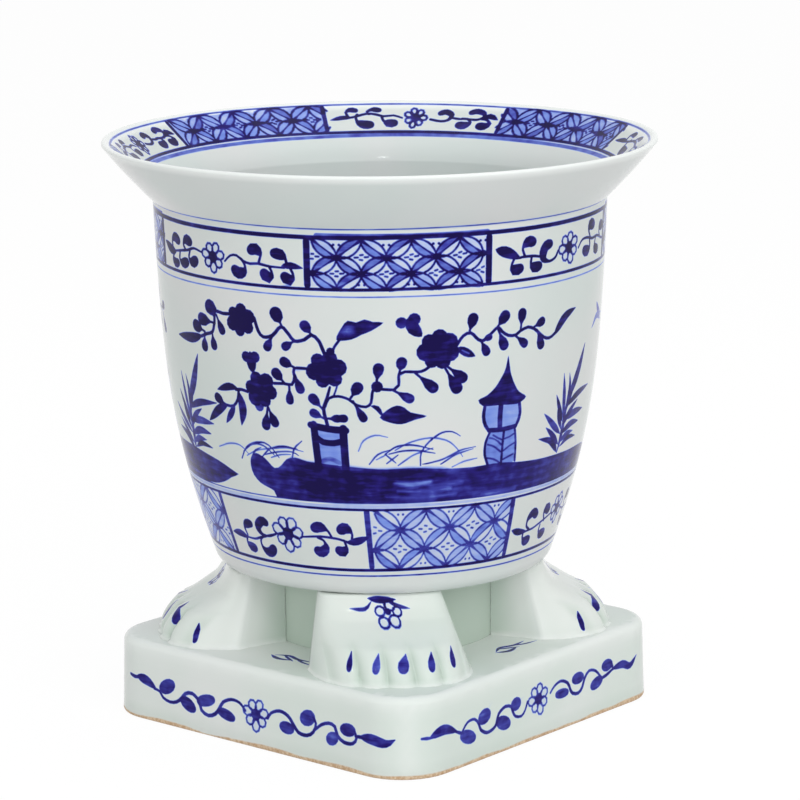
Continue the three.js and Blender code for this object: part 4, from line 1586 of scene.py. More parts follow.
@dataclass
class Bowl:
    """The deep bowl with its flared rim."""

    wheel: Wheel
    finish: bpy.types.Material
    seat: float = 100.0
    rim_top: float = 376.0
    rim_radius: float = 178.0
    crease_radius: float = 146.0
    crease: float = 338.5
    base_radius: float = 111.0
    base_round: float = 9.0
    low_pull: Spot = (139.175, 190.4725)
    high_pull: Spot = (142.045, 237.52)
    flare_pull: Spot = (166.0, 358.5)
    lip_round: float = 1.9
    rim_inner: Spot = (150.5, 355.7)
    rim_outer: Spot = (173.82, 375.335)
    wall: float = 8.0
    floor: float = 109.0
    foot_radius: float = 60.0
    foot_depth: float = 6.0
    drain: float = 12.5
    join: float = 341.5  # the wall's sheet ends here, on the flare
    throat_join: float = 147.2  # and the rim's sheet ends at this radius, in the throat

    def _wall_curve(self, count: int) -> np.ndarray:
        """Points up the outside of the wall, from its foot to the crease."""
        t = np.linspace(0, 1, count)[:, None]
        a, b = np.array([self.base_radius, self.seat + self.base_round]), np.array(self.low_pull)
        c, d = np.array(self.high_pull), np.array([self.crease_radius, self.crease])
        return (1 - t) ** 3 * a + 3 * (1 - t) ** 2 * t * b + 3 * (1 - t) * t**2 * c + t**3 * d

    def _flare_curve(self, count: int) -> np.ndarray:
        """Points up the outside of the flare, from the crease to the lip."""
        lip = (self.rim_radius, self.rim_top - self.lip_round)
        start = (self.crease_radius, self.crease)
        return np.array([start, *bend(start, self.flare_pull, lip, count)])

    def wall_surface(self, flat: np.ndarray) -> np.ndarray:
        """The wall's sheet in space."""
        line = np.vstack([self._wall_curve(1600), self._flare_curve(600)[1:]])
        radius = np.interp(flat[:, 1], line[:, 1], line[:, 0])
        angle = flat[:, 0] / SHEET_RADIUS + CAMERA_TURN
        return np.stack([radius * np.cos(angle), radius * np.sin(angle), flat[:, 1]], 1)

    def _throat_curve(self) -> np.ndarray:
        """Points from the rim face's inner edge down to the inner wall."""
        way = headings(self._wall_curve(30))[-1]
        top = np.array([self.crease_radius, self.crease]) + np.array([-way[1], way[0]]) * self.wall
        pull = (top[0] + 2.6, top[1] + 9.5)
        return np.array([self.rim_inner, *bend(self.rim_inner, pull, tuple(top), 200)])

    def rim_surface(self, flat: np.ndarray) -> np.ndarray:
        """The rim face's sheet in space: x along it at the sheet radius, y its radius."""
        angle = flat[:, 0] / SHEET_RADIUS + CAMERA_TURN
        line = np.vstack([self._throat_curve()[::-1], [self.rim_outer]])
        slope = (self.rim_outer[1] - self.rim_inner[1]) / (self.rim_outer[0] - self.rim_inner[0])
        beyond = np.maximum(flat[:, 1] - self.rim_outer[0], 0) * slope
        height = np.interp(flat[:, 1], line[:, 0], line[:, 1]) + beyond
        return np.stack([flat[:, 1] * np.cos(angle), flat[:, 1] * np.sin(angle), height], 1)

    def build(self) -> bpy.types.Object:
        """Builds and dresses the bowl."""
        half = 0.5 * SHEET_TURN
        columns = np.linspace(-half, half, COLUMNS + 1)
        start = CAMERA_TURN - math.pi
        rows = np.linspace(self.seat + self.base_round, self.join, 40)
        sheet = Sheet(-half, half, columns, rows, self.wall_surface)
        wall = sheet.skin(WallPainting().marks(), (self.crease - 0.7, self.crease, self.crease + 0.7))
        log.info("wall skin: %d faces", len(wall.faces))
        r0, r1 = self.throat_join, self.rim_outer[0]
        face = Sheet(-half, half, columns, np.linspace(r0, r1, 8), self.rim_surface, True)
        rim = face.skin(RimPainting().marks(), (self.rim_inner[0] - 0.8, self.rim_inner[0] + 0.5))
        log.info("rim skin: %d faces", len(rim.faces))
        patches = [self.wheel.turn(self._under(), start), wall, self.wheel.turn(self._flare(), start), rim,
                   self.wheel.turn(self._inside(), start)]
        piece = Shell("bowl_painted", patches).close(self.finish)
        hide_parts("bowl")
        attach(piece, "bowl")
        return piece

    def _under(self) -> list[Spot]:
        """The outline from the drain hole, under the foot ring and out to the wall."""
        seat, ring = self.seat, self.foot_radius
        line = filleted([(self.drain, seat + 4.5, 0), (self.drain, seat, 1.2), (ring - 8, seat, 1.0),
                         (ring - 7, seat - self.foot_depth, 1.3), (ring - 1, seat - self.foot_depth, 1.3),
                         (ring, seat, 1.0), (self.base_radius - self.base_round - 2, seat, 0)])
        wall_foot = (self.base_radius, seat + self.base_round)
        return line + bend(line[-1], (self.base_radius - 2, seat), wall_foot, 8)

    def _flare(self) -> list[Spot]:
        """The outline of the flare and its lip."""
        line = self._flare_curve(60)
        radius = float(np.interp(self.join, line[:, 1], line[:, 0]))
        rest = [tuple(p) for p in line[line[:, 1] > self.join + 0.6].tolist()][::4]
        last = (self.rim_radius, self.rim_top - self.lip_round)
        if rest[-1] != last:
            rest.append(last)
        top = (self.rim_radius - self.lip_round, self.rim_top)
        return ([(radius, self.join), *rest, *bend(last, (self.rim_radius, self.rim_top), top, 5)]
                + bend(top, (self.rim_radius - 3.2, self.rim_top), self.rim_outer, 3))

    def _inside(self) -> list[Spot]:
        """The outline down the throat and the inner wall to the drain hole."""
        curve = self._wall_curve(20)
        way = headings(curve)
        inner = (curve + np.stack([-way[:, 1], way[:, 0]], 1) * self.wall)[::-1]
        line = self._throat_curve()
        height = float(np.interp(-self.throat_join, -line[:, 0], line[:, 1]))
        below = line[line[:, 0] < self.throat_join - 0.5].tolist()
        throat = [tuple(p) for p in below][::24] + [tuple(inner[0])]
        upright = [tuple(p) for p in inner[inner[:, 1] > self.floor + 16].tolist()]
        foot = self.base_radius - self.wall
        corner = bend(upright[-1], (foot, self.floor), (foot - 16, self.floor), 8)
        rest = filleted([(foot - 16, self.floor, 0), (self.drain, self.floor, 1.2),
                         (self.drain, self.seat + 4.5, 0)])
        steps = [(foot - 16 - k * 14.0, self.floor) for k in range(1, 5)]
        return [(self.throat_join, height), *throat, *upright[1:], *corner, *steps, *rest[1:]]


@dataclass(frozen=True)
class RimPainting:
    """What is painted on the rim's top face. Places are degrees round from the camera and radii."""

    inner: float = 153.4
    outer: float = 171.6
    scroll_length: float = 110.0  # of the panel that the scroll was laid out for
    borders: tuple[float, ...] = (-86.4, -43.4, 11.1, 54.1, 108.7, 149.2, 193.3, 236.0, 273.6)

    def _x(self, degrees: float) -> float:
        """A sheet place for an angle."""
        return math.radians(degrees) * SHEET_RADIUS

    def marks(self) -> list[Mark]:
        """Every mark of the rim."""
        rows = (self.inner, 0.5 * (self.inner + self.outer), self.outer)
        found: list[Mark] = []
        for k, (a, b) in enumerate(zip(self.borders[:-1], self.borders[1:])):
            x0, x1 = self._x(a), self._x(b)
            if Panel((k + 1) % 2) is Panel.SCROLL:
                scroll = RIM_SCROLL.marks((x1 - x0) / self.scroll_length)
                found += [mark.moved(0.5 * (x0 + x1)) for mark in scroll]
                continue
            lattice = Diaper(rows, x0 + 8.0, 23.4, 8.2, 1.4, 0.94)
            found += lattice.marks(lambda y, s=x0: s, lambda y, e=x1: e)
            found.append(panel_wash(x0, x1, self.inner, self.outer, 0.24))
            found += [stroke([(x, self.inner + 1.2), (x, self.outer - 0.8)], 2.6, 0.95) for x in (x0, x1)]
        return wrapped(found, 0.5 * SHEET_TURN) + self._lines()

    def _lines(self) -> list[Mark]:
        """The lines round the rim."""
        return [circle_line(172.4, 1.1, 0.66), circle_line(152.9, 1.9, 0.95), circle_line(150.3, 2.5, 0.5)]


# ---- the stand ------------------------------------------------------------------------


@dataclass
class Plinth:
    """The square plinth with round corners, hollow underneath."""

    finish: bpy.types.Material
    top: float = 52.0
    half_side: float = 133.0
    corner: float = 36.0
    draft: float = 1.4
    shoulder: float = 5.0
    foot_round: float = 1.2
    wall: float = 10.0
    ceiling: float = 42.0
    vent: float = 42.0

    @property
    def face(self) -> float:
        """Length of a side between its round corners."""
        return 2 * (self.half_side - self.corner)

    @property
    def arc(self) -> float:
        """Length of the way round one corner."""
        return 0.5 * math.pi * self.corner

    def ring(self, s: np.ndarray, inset: np.ndarray | float, height: np.ndarray | float) -> np.ndarray:
        """Places round the plinth.

        Args:
            s: distance round it from the middle of the side that faces -Y.
            inset: how far in from the widest outline.
            height: above the floor.

        Returns:
            The places, (n, 3).
        """
        period = self.face + self.arc
        quarter = np.floor((s + 0.5 * self.face) / period)
        local = s - quarter * period
        past = np.clip((local - 0.5 * self.face) / self.arc, 0, 1)
        turn = past * 0.5 * math.pi - 0.5 * math.pi
        along = np.clip(local, -0.5 * self.face, 0.5 * self.face)
        x = along + (self.corner - inset) * np.cos(turn)
        y = -0.5 * self.face + (self.corner - inset) * np.sin(turn)
        c, d = np.cos(quarter * 0.5 * math.pi), np.sin(quarter * 0.5 * math.pi)
        return np.stack([x * c - y * d, x * d + y * c, np.broadcast_to(height, x.shape)], 1)

    def side_surface(self, flat: np.ndarray) -> np.ndarray:
        """The side's sheet in space."""
        z = flat[:, 1]
        inset = self.draft * np.clip((z - self.foot_round) / (self.top - self.shoulder), 0, 1)
        sway = 0.35 * np.sin(flat[:, 0] * 2 * math.pi / (self.face + self.arc)) * fade(z, 4, 30)
        return self.ring(flat[:, 0], inset + 0.35 + sway, z)

    def build(self) -> bpy.types.Object:
        """Builds and dresses the plinth."""
        period = self.face + self.arc
        first = np.concatenate([np.linspace(-0.5 * self.face, 0.5 * self.face, 29)[:-1],
                                0.5 * self.face + np.linspace(0, self.arc, 15)[:-1]])
        start = -1.5 * period - 0.5 * self.arc
        s = np.concatenate([first + k * period for k in range(-2, 3)])
        s = s[(s >= start - 1e-6) & (s < start + 4 * period - 1e-6)]
        closed = np.append(s, s[0] + 4 * period)
        low, high = self.foot_round, self.top - self.shoulder
        rows = np.linspace(low, high, 9)
        sheet = Sheet(float(closed[0]), float(closed[-1]), closed, rows, self.side_surface)
        side = sheet.skin(PlinthPainting(period).marks(float(closed[0]), 4 * period))
        # glaze gathered at the foot, less a painted highlight down the round corners and just below the
        # shoulder
        past = np.abs((side.chart[:, 0] - 0.5 * period) % period)
        past = np.minimum(past, period - past)
        edge = 0.35 * np.exp(-((past / 7.0) ** 2)) + 0.5 * fade(side.chart[:, 1], high - 9, high + 3)
        side.pool = 0.25 * (1 - fade(side.chart[:, 1], 3, 12)) - edge
        log.info("plinth side: %d faces", len(side.faces))
        foot = self._at(s, low)
        outer = [self._inward(foot, self.foot_round, 0.0), self._inward(foot, 0.35 * self.foot_round, 0.35),
                 self._inward(foot, 0, low)]
        shoulder = self._at(s, high)
        over = [self._inward(shoulder, self.shoulder * (1 - math.cos(a)),
                             self.top - self.shoulder * (1 - math.sin(a)))
                for a in np.linspace(0, 0.5 * math.pi, 7)]
        rim = over[-1]
        circle = self._circle(s, self.vent)
        reach = self.half_side + 7.0
        spread = Sheet(-reach, reach, np.zeros(2), np.array([-reach, reach]),
                       lambda flat: np.column_stack([flat, np.full(len(flat), self.top)]),
                       loops=(rim[:, :2].copy(), circle))
        lid = spread.skin(PlinthPainting(period).top_marks())
        log.info("plinth top: %d faces", len(lid.faces))
        depths = (self.top, self.top - 5, self.ceiling)
        hole = [np.column_stack([circle, np.full(len(s), z)]) for z in depths]
        back = self.wall + self.draft
        inside = ((back + self.shoulder, self.ceiling), (back + 1.5, self.ceiling - 1.5),
                  (back, self.ceiling - self.shoulder), (self.wall, 0.8), (self.wall - 0.6, 0.0))
        inner = [self._inward(foot, d, z) for d, z in inside]
        ceiling = [hole[-1], inner[0]]
        under = [inner[-1], outer[0]]
        bead = grid_patch(over, True)
        # painted highlight along the shoulder's rounded edge
        bead.pool = np.full(len(bead.points), -0.5)
        parts = [grid_patch(outer, True), side, bead, lid, grid_patch(hole, True),
                 grid_patch(ceiling, True), grid_patch(inner, True), grid_patch(under, True)]
        piece = Shell("plinth_painted", parts).close(self.finish)
        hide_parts("plinth")
        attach(piece, "stand")
        return piece

    def _at(self, s: np.ndarray, height: float) -> np.ndarray:
        """The side's outline at a height."""
        return self.side_surface(np.stack([s, np.full(len(s), height)], 1))

    @staticmethod
    def _inward(ring: np.ndarray, distance: float, height: float) -> np.ndarray:
        """A ring drawn in by a distance and set at a height.

        Args:
            ring: the ring, (n, 3).
            distance: how far in.
            height: where it is set.

        Returns:
            The new ring, (n, 3).
        """
        way = np.roll(ring, -1, 0) - np.roll(ring, 1, 0)
        out = np.stack([way[:, 1], -way[:, 0]], 1)
        out /= np.linalg.norm(out, axis=1, keepdims=True)
        return np.column_stack([ring[:, :2] - out * distance, np.full(len(ring), height)])

    def _circle(self, s: np.ndarray, radius: float) -> np.ndarray:
        """A circle with as many places as the outline, in step with its corners."""
        angle = s / (4 * (self.face + self.arc)) * 2 * math.pi - 0.5 * math.pi
        return radius * np.stack([np.cos(angle), np.sin(angle)], 1)


@dataclass(frozen=True)
class PlinthPainting:
    """The scrolls on the plinth's sides and the dabs on its top."""

    period: float

    def marks(self, start: float, turn: float) -> list[Mark]:
        """The scroll on each side, brought into the sheet that begins at start."""
        found = []
        for k in range(-2, 3):
            source = (SIDE_FIRST if k % 2 == 0 else SIDE_SECOND).marks()
            found += [m.moved(k * self.period) for m in source]
        kept = []
        for mark in found:
            low, high = mark.reach()
            if low[0] > start and high[0] < start + turn:
                kept.append(mark)
        return kept

    def top_marks(self) -> list[Mark]:
        """The leaf dabs on the plinth's top, between the paws."""
        found = []
        dabs = ((((-7, -100), (2, -96), (12, -99), (24, -98)), 3.0),
                (((-9, -101), (0, -105), (10, -103)), 3.4),
                (((8, -97), (18, -102), (30, -104)), 2.0),
                (((-2, -96.5), (4, -100), (12, -104)), 2.2))
        for quarter in range(4):
            c, d = math.cos(quarter * math.pi / 2), math.sin(quarter * math.pi / 2)
            for path, width in dabs:
                spots = [(x * c - y * d, x * d + y * c) for x, y in path]
                found.append(leaf(spots, width, 0.84))
        return found


@dataclass
class Collar:
    """The round wall in the middle of the stand that takes the bowl's foot."""

    wheel: Wheel
    finish: bpy.types.Material
    radius: float = 75.0
    thickness: float = 7.5
    low: float = 52.0
    high: float = 100.0

    def build(self) -> bpy.types.Object:
        """Builds and dresses the collar."""
        inner = self.radius - self.thickness
        seam = (self.radius - 3, self.low, 0)
        line = filleted([seam, (self.radius, self.low, 0.4), (self.radius, self.high, 1.6),
                         (inner, self.high, 1.6), (inner, self.low, 0.4), seam], 3)
        tall = [p for a, b in zip(line[:-1], line[1:]) for p in self._split(a, b)] + [line[-1]]
        piece = Shell("collar_glazed", [self.wheel.turn(tall, columns=120)]).close(self.finish)
        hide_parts("collar")
        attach(piece, "stand")
        return piece

    @staticmethod
    def _split(a: Spot, b: Spot) -> list[Spot]:
        """A long straight run cut into short ones."""
        count = max(1, int(math.hypot(b[0] - a[0], b[1] - a[1]) / 6))
        return [(a[0] + (b[0] - a[0]) * k / count, a[1] + (b[1] - a[1]) * k / count) for k in range(count)]


@dataclass
class Paw:
    """A lion's paw at one corner of the stand. x runs outwards, y across it, to its left."""

    node: str
    finish: bpy.types.Material
    corner: float  # its direction from the middle, in radians
    shear: float = 0.0
    lean: float = 0.0
    painting: Callable[["Paw"], list[Mark]] | None = None  # the side paws' where there is none
    base: float = 52.0
    height: float = 48.0
    reach: float = 148.0
    ankle_reach: float = 103.0
    widest: Spot = (97.0, 87.0)
    half_width: Spot = (50.5, 38.5)
    heel: Spot = (56.0, 33.0)
    toe_pitch: float = 17.0
    toes: int = 5
    groove: float = 3.4
    toe_height: float = 20.0
    instep: Spot = (33.0, 111.0)
    knuckle_reach: float = 136.5
    top_round: float = 2.0
    skirt: Spot = (1.3, 1.9)  # how far the glaze runs out at the foot, and how high
    collar: float = 75.2
    front: float = 80.0  # length on the sheet from the middle toe to the widest place
    flank: float = 42.0  # and from there to the collar

    def _front_reach(self, h: np.ndarray) -> np.ndarray:
        """How far out the front stands at a height."""
        on_toes = np.clip(h / self.toe_height, 0, 1)
        toes = self.reach - (self.reach - self.knuckle_reach) * np.power(on_toes, 1.9)
        part = np.clip((h - self.toe_height) / (self.instep[0] - self.toe_height), 0, 1)
        slope = self.knuckle_reach + (self.instep[1] - self.knuckle_reach) * np.power(part, 0.85)
        rise = np.clip((h - self.instep[0]) / (self.height - self.instep[0]), 0, 1)
        ankle = self.instep[1] + (self.ankle_reach - self.instep[1]) * (1 - np.power(1 - rise, 1.7))
        return np.where(h <= self.toe_height, toes, np.where(h <= self.instep[0], slope, ankle))

    def local(self, flat: np.ndarray) -> np.ndarray:
        """The sheet in the paw's own space: x outwards, y across, z height."""
        u, h = flat[:, 0], np.clip(flat[:, 1], 0, self.height)
        part = h / self.height
        half = self.half_width[0] + (self.half_width[1] - self.half_width[0]) * part
        widest = self.widest[0] + (self.widest[1] - self.widest[0]) * part
        turn = np.clip(u / self.front, -1, 1) * 0.5 * math.pi
        across = half * np.sign(turn) * np.power(np.abs(np.sin(turn)), 0.92)
        aside = np.minimum(1, np.abs(across) / half)
        square = 2.6 + 1.6 * fade(h, self.toe_height, self.height)
        bulge = np.power(np.maximum(1 - np.power(aside, square), 0), 1 / square)
        now = self.groove * fade(h, -6, 4) * (1 - fade(h, self.toe_height * 0.7, self.toe_height * 1.35))
        ridge = np.abs(np.cos(math.pi * across / self.toe_pitch))
        span = self.toes * self.toe_pitch / 2
        on_toes = 1 - fade(np.abs(across), span - 4, span + 3)
        out = widest + (self._front_reach(h) - widest) * bulge - now * on_toes * np.power(1 - ridge, 1.4)
        back = np.clip((np.abs(u) - self.front) / self.flank, 0, 1)
        side = np.sign(u)
        low, high = np.zeros_like(u), np.ones_like(u)
        for _ in range(22):
            middle = 0.5 * (low + high)
            x, y = self._heel(middle, half, widest, side, part)
            inside = x * x + y * y < self.collar**2
            high, low = np.where(inside, middle, high), np.where(inside, low, middle)
        x, y = self._heel(back * 0.5 * (low + high), half, widest, side, part)
        on_flank = np.abs(u) > self.front
        y_front = across + self.shear * (self.reach - out) + self.lean * part
        soft = np.clip((flat[:, 1] - (self.height - self.top_round)) / self.top_round, 0, 1)
        x, y = np.where(on_flank, x, out), np.where(on_flank, y, y_front)
        inset = self.top_round * (1 - np.sqrt(np.maximum(1 - soft * soft, 0)))
        inset -= self.skirt[0] * np.power(np.clip(1 - h / self.skirt[1], 0, 1), 2.2)
        centre = 78.0
        away = np.maximum(np.hypot(x - centre, y), 1e-6)
        return np.stack([x - (x - centre) / away * inset * (np.abs(u) < self.front + self.flank - 1),
                         y - y / away * inset, h], 1)

    def _heel(self, back: np.ndarray, half: np.ndarray, widest: np.ndarray, side: np.ndarray,
              part: np.ndarray) -> tuple[np.ndarray, np.ndarray]:
        """A place on a flank, a share of the way back to the heel."""
        across = half + (self.heel[1] - half) * (1 - np.power(np.maximum(1 - back, 0), 1.6))
        x = widest + (self.heel[0] - widest) * back
        return x, side * across + self.shear * (self.reach - x) + self.lean * part

    def surface(self, flat: np.ndarray) -> np.ndarray:
        """The sheet in space."""
        x, y, z = self.local(flat).T
        c, d = math.cos(self.corner), math.sin(self.corner)
        return np.stack([x * c - y * d, x * d + y * c, z + self.base], 1)

    def at(self, lateral: float, height: float) -> Spot:
        """The sheet place of a distance across the paw's front and a height.

        Args:
            lateral: the distance, to the paw's left.
            height: above the plinth.

        Returns:
            The place.
        """
        part = height / self.height
        half = self.half_width[0] + (self.half_width[1] - self.half_width[0]) * part
        ratio = min(0.999, abs(lateral) / half)
        return math.copysign(math.asin(ratio ** (1 / 0.92)) * self.front / (0.5 * math.pi), lateral), height

    def beside(self, reach: float, height: float, side: int) -> Spot:
        """The sheet place on one side of the paw that stands this far out.

        Args:
            reach: how far out from the stand's middle.
            height: above the plinth.
            side: 1 for the left, -1 for the right.

        Returns:
            The place.
        """
        along = np.linspace(4, self.front - 1, 60)
        out = self.local(np.stack([side * along, np.full(60, height)], 1))[:, 0]
        return side * float(along[np.abs(out - reach).argmin()]), height

    def build(self) -> bpy.types.Object:
        """Builds and dresses the paw."""
        end = self.front + self.flank
        columns = np.linspace(-end, end, 141)
        rounding = self.height - self.top_round
        rows = np.concatenate([[0.0, 0.25, 0.6, 1.1], np.linspace(self.skirt[1], rounding, 23),
                               rounding + self.top_round * np.sin(np.linspace(0.3, 1, 4) * math.pi / 2)])
        sheet = Sheet(-end, end, columns, rows, self.surface)
        skin = self._fine(sheet, (self.painting or side_paw_painting)(self))
        left = self.surface(np.stack([np.full(len(rows), -end), rows], 1))
        right = self.surface(np.stack([np.full(len(rows), end), rows], 1))
        steps = 15
        back = [self._arc(b, a, steps) for a, b in zip(left, right)]
        foot = self.surface(np.stack([columns, np.zeros(len(columns))], 1))
        top = self.surface(np.stack([columns, np.full(len(columns), self.height)], 1))
        lid = np.vstack([top, back[-1][1:-1]])
        sole = np.vstack([foot, back[0][1:-1]])
        parts = [skin, grid_patch(back, False), cap_patch(lid), cap_patch(sole, True)]
        piece = Shell(f"{self.node}_painted", parts).close(self.finish)
        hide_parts(self.node)
        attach(piece, "stand")
        return piece

    def _fine(self, sheet: Sheet, marks: list[Mark]) -> Patch:
        """The painted skin, with how far the glaze has gathered in the grooves, painted shade on the flanks
        towards the collar, and painted highlights along the foot and down the edges of the front.
        """
        skin = sheet.skin(marks, tuple(sheet.rows[1:-1]))
        flat = skin.chart
        plain = Paw("", self.finish, self.corner, self.shear, self.lean, groove=0.0)
        depth = np.linalg.norm(self.local(flat) - plain.local(flat), axis=1)
        # painted highlight along the foot (low) and down the edges of the front (ridge); painted shade on
        # the flanks towards the collar (deep)
        low = 1 - fade(flat[:, 1], 0.0, 3.5)
        ridge = np.exp(-(((np.abs(flat[:, 0]) - self.front) / 4.5) ** 2))
        deep = 0.75 * fade(np.abs(flat[:, 0]), self.front + 8, self.front + self.flank)
        skin.pool = np.clip(depth / 3.4 * 0.8 + deep - 0.5 * low - 0.55 * ridge, -1, 1)
        return skin

    @staticmethod
    def _arc(a: np.ndarray, b: np.ndarray, steps: int) -> np.ndarray:
        """Places along the collar from a to b.

        Args:
            a: where it starts.
            b: where it ends.
            steps: how many places it has.

        Returns:
            The places, (steps, 3).
        """
        start, end = math.atan2(a[1], a[0]), math.atan2(b[1], b[0])
        while end - start > math.pi:
            end -= 2 * math.pi
        while end - start < -math.pi:
            end += 2 * math.pi
        t = np.linspace(0, 1, steps)
        angle = start + (end - start) * t
        radius = np.hypot(a[0], a[1]) + (np.hypot(b[0], b[1]) - np.hypot(a[0], a[1])) * t
        return np.stack([radius * np.cos(angle), radius * np.sin(angle), np.full(steps, a[2])], 1)


@dataclass(frozen=True)
class Claw:
    """One painted claw: the places of its foot and its tip, across the paw and up it."""

    foot: Spot
    tip: Spot
    width: float = 5.0
    load: float = 0.78

    def mark(self, paw: Paw) -> Mark:
        """Its dab on the paw's sheet."""
        return dropped(paw.at(*self.foot), paw.at(*self.tip), self.width, self.load)


def dropped(foot: Spot, tip: Spot, width: float, load: float) -> Mark:
    """A drop with a round foot that narrows to its tip.

    Args:
        foot: place of its round foot.
        tip: place of its tip.
        width: its full width.
        load: how much cobalt it leaves.

    Returns:
        The mark.
    """
    start, end = np.array(foot, float), np.array(tip, float)
    t = np.array([0.0, 0.12, 0.3, 0.5, 0.75, 1.0])
    start[1] += 0.4 * width
    half = 0.5 * width * np.array([0.8, 0.96, 1.0, 0.8, 0.45, 0.1])
    return Mark(start + t[:, None] * (end - start), load, half)


def front_paw_painting(paw: Paw) -> list[Mark]:
    """Claws, a flower and a bud on the paw nearest the camera."""
    claws = (Claw((-31.6, 8.4), (-27.4, 19.6), 4.6, 0.8), Claw((-16, 8), (-11.6, 19), 5.2, 0.56),
             Claw((1.4, 8), (5, 18.4), 6.2, 0.68), Claw((19.8, 8), (21.4, 18.6), 5.6, 0.72),
             Claw((35, 8.4), (35.6, 19.6), 5.6, 0.74))
    marks = [claw.mark(paw) for claw in claws]
    x, y = paw.at(2.2, 36.8)
    petals = ((1.4, 4.5, 3.5), (-5.6, 1.4, 3.3), (5.8, 1.0, 3.2), (-4.4, -4.6, 3.2), (2.6, -4.0, 3.6))
    turns = [k * math.pi / 5 for k in range(10)]
    for dx, dy, size in petals:
        ring = [(x + dx + size * math.cos(a), y + dy + 0.86 * size * math.sin(a)) for a in turns]
        wash = replace(disc((x + dx, y + dy), 0.8 * size, 0.08), cut=False)
        marks += [ring_stroke(ring, 1.25, 0.84), wash]
    bx, by = paw.at(-0.5, 45.2)
    marks += [
        disc((x - 0.6, y + 1), 2.0, 0.86),
        leaf([(bx - 11, by + 0.6), (bx - 2, by - 0.4), (bx + 9, by - 0.6)], 4.4, 0.86),
        leaf([(bx - 8, by - 1), (bx - 14, by - 5.6), paw.at(-22, 40)], 2.4, 0.72),
        leaf([(bx + 2, by - 1), (bx + 10, by - 4.4), (bx + 19, by - 6)], 2.6, 0.7),
        stroke([(bx, by - 2), (bx + 0.6, by - 5)], 1.0, 0.5, (1, 0.4)),
    ]
    return marks


def side_paw_painting(paw: Paw) -> list[Mark]:
    """Claws on the other paws, most of them seen from the side, with a small flower on the instep."""
    marks = [Claw((0, 7.6), (0, 20), 5.4).mark(paw)]
    for side in (-1, 1):
        for reach, height in ((139, 10.6), (127, 3.2)):
            low, high = paw.beside(reach, height, side), paw.beside(reach - 1.5, height + 12, side)
            marks.append(dropped(low, (0.5 * (low[0] + high[0]), high[1]), 5.8, 0.82))
    return marks + open_flower(paw.at(0, 37), 7.6, 5, 1.57, 1.2)


# ---- the studio -----------------------------------------------------------------------


def whole(seen: Wire) -> Wire:
    """One where a light path comes from the camera, a reflection or a clear material."""
    return (seen + seen.sibling("Is Glossy Ray") + seen.sibling("Is Transmission Ray")).kept()


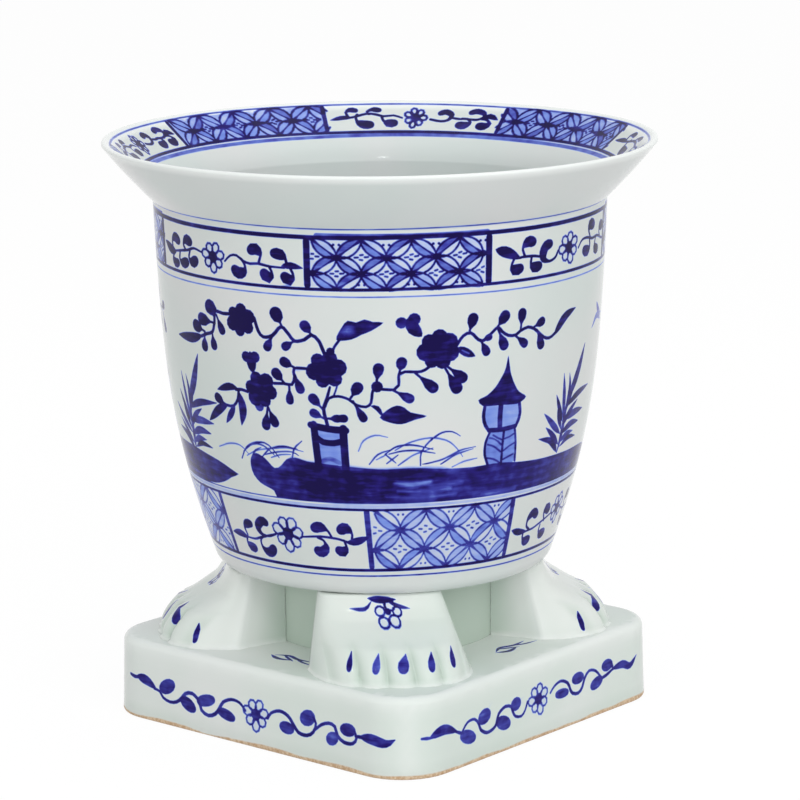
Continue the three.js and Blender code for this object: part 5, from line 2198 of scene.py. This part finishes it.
@dataclass(frozen=True)
class Studio:
    """A pale floor, soft light from a white room and the camera."""

    azimuth: float = 40.5
    elevation: float = 12.283
    distance: float = 2.3
    aim: float = 0.1971
    lens: float = 158.89
    shift: Spot = (0.0223, 0.01055)
    roll: float = -0.573
    room: float = 0.62  # strength of the white room as light; to the camera it is 1
    washed: float = 0.9  # how far the floor turns plain white to the camera

    def build(self) -> None:
        """Sets everything up."""
        self._world()
        self._floor()
        self._lamp("key_panel", (2.2, -0.7, 1.3), 1.7, 20.0)
        self._lamp("fill_panel", (0.3, -2.5, 0.95), 1.6, 10.0)
        self._lamp("top_panel", (0.1, 0.3, 2.6), 1.8, 13.0)
        self._lamp("window", (1.45, -1.85, 2.3), 0.24, 5.0)
        self._camera()
        bpy.context.scene.view_settings.view_transform = "Standard"

    def _world(self) -> None:
        """A white room: plain white to the camera and softer as light."""
        world = bpy.data.worlds.new("white_room")
        world.use_nodes = True
        world.node_tree.nodes.clear()
        board = Board(world.node_tree)
        seen = board.node("ShaderNodeLightPath", {}, {})
        strength = self.room + whole(seen) * (1.0 - self.room)
        white = (1.0, 1.0, 1.0, 1.0)
        ground = board.node("ShaderNodeBackground", {}, {"Color": white, "Strength": strength})
        board.node("ShaderNodeOutputWorld", {}, {"Surface": ground})
        bpy.context.scene.world = world

    def _floor(self) -> None:
        """The pale floor, a little washed out to the camera."""
        size = 14.0
        mesh = bpy.data.meshes.new("floor")
        mesh.from_pydata([(-size, -size, 0), (size, -size, 0), (size, size, 0), (-size, size, 0)], [],
            [(0, 1, 2, 3)])
        made = bpy.data.materials.new("pale_floor")
        made.use_nodes = True
        made.node_tree.nodes.clear()
        board = Board(made.node_tree)
        seen = board.node("ShaderNodeLightPath", {}, {})
        cloth = board.node("ShaderNodeBsdfDiffuse", {}, {"Color": (0.74, 0.74, 0.74, 1.0)})
        glow = board.node("ShaderNodeEmission", {}, {"Color": (1.0, 1.0, 1.0, 1.0), "Strength": 1.04})
        both = board.node("ShaderNodeMixShader", {}, {0: whole(seen) * self.washed, 1: cloth, 2: glow})
        board.node("ShaderNodeOutputMaterial", {}, {"Surface": both})
        mesh.materials.append(made)
        floor = bpy.data.objects.new("floor", mesh)
        bpy.context.scene.collection.objects.link(floor)

    def _lamp(self, name: str, place: Place, size: float, power: float) -> None:
        """A soft square lamp that faces the object.

        Args:
            name: its name.
            place: where it hangs, in metres.
            size: length of its side.
            power: in watts.
        """
        lamp = bpy.data.lights.new(name, "AREA")
        lamp.shape, lamp.size, lamp.energy = "SQUARE", size, power
        held = bpy.data.objects.new(name, lamp)
        bpy.context.scene.collection.objects.link(held)
        held.location = place
        held.rotation_euler = (Vector((0, 0, 0.2)) - Vector(place)).to_track_quat("-Z", "Y").to_euler()

    def _camera(self) -> None:
        """The camera at the photograph's viewing angle."""
        lens = bpy.data.cameras.new("camera")
        lens.sensor_width, lens.lens = 36.0, self.lens
        lens.shift_x, lens.shift_y = self.shift
        lens.clip_end = 60
        held = bpy.data.objects.new("camera", lens)
        bpy.context.scene.collection.objects.link(held)
        a, e = math.radians(self.azimuth), math.radians(self.elevation)
        away = Vector((math.sin(a) * math.cos(e), -math.cos(a) * math.cos(e), math.sin(e)))
        aim = Vector((0, 0, self.aim))
        held.location = aim + away * self.distance
        facing = (-away).to_track_quat("-Z", "Y").to_matrix().to_4x4()
        held.rotation_euler = (facing @ Matrix.Rotation(math.radians(self.roll), 4, "Z")).to_euler()
        bpy.context.scene.camera = held


def main() -> None:
    """Builds the object and its studio, piece by piece."""
    logging.basicConfig(level=logging.INFO, format="%(name)s: %(message)s", stream=sys.stdout)
    Studio().build()
    bowl_glaze = Glaze("bowl_glaze_painted", shade(216, 218, 217), shade(209, 217, 214),
                       shade(188, 202, 196), lip=0.3695).material()
    stand_glaze = Glaze("stand_glaze_painted", shade(228, 232, 228), shade(216, 226, 219),
                        shade(180, 198, 184)).material()
    plinth_glaze = Glaze("plinth_glaze_painted", shade(226, 230, 227), shade(215, 225, 218),
                         shade(184, 200, 188), bare_edge=0.003).material()
    # the collar's glaze is darker than the stand's: painted shade for where it stands under the bowl between
    # the paws
    collar_shaded_glaze = Glaze("collar_shaded_glaze_painted", shade(192, 206, 194), shade(184, 200, 187),
                       shade(172, 190, 176)).material()
    wheel = Wheel(TurnedTree().build(), bowl_glaze)
    pieces = [Bowl(wheel, bowl_glaze).build(), Plinth(plinth_glaze).build(),
              Collar(wheel, collar_shaded_glaze).build()]
    for corner in Corner:
        paw = Paw(f"paw_{corner.name.lower()}", stand_glaze, corner.value * (math.pi / 4))
        if corner is Corner.FRONT_RIGHT:  # the nearest paw was set a little askew
            paw = replace(paw, shear=-0.11, lean=-4.0, painting=front_paw_painting)
        pieces.append(paw.build())
    for piece in pieces:
        log.info("piece %s: %d points", piece.name, len(piece.data.vertices))


if __name__ == "__main__":
    main()
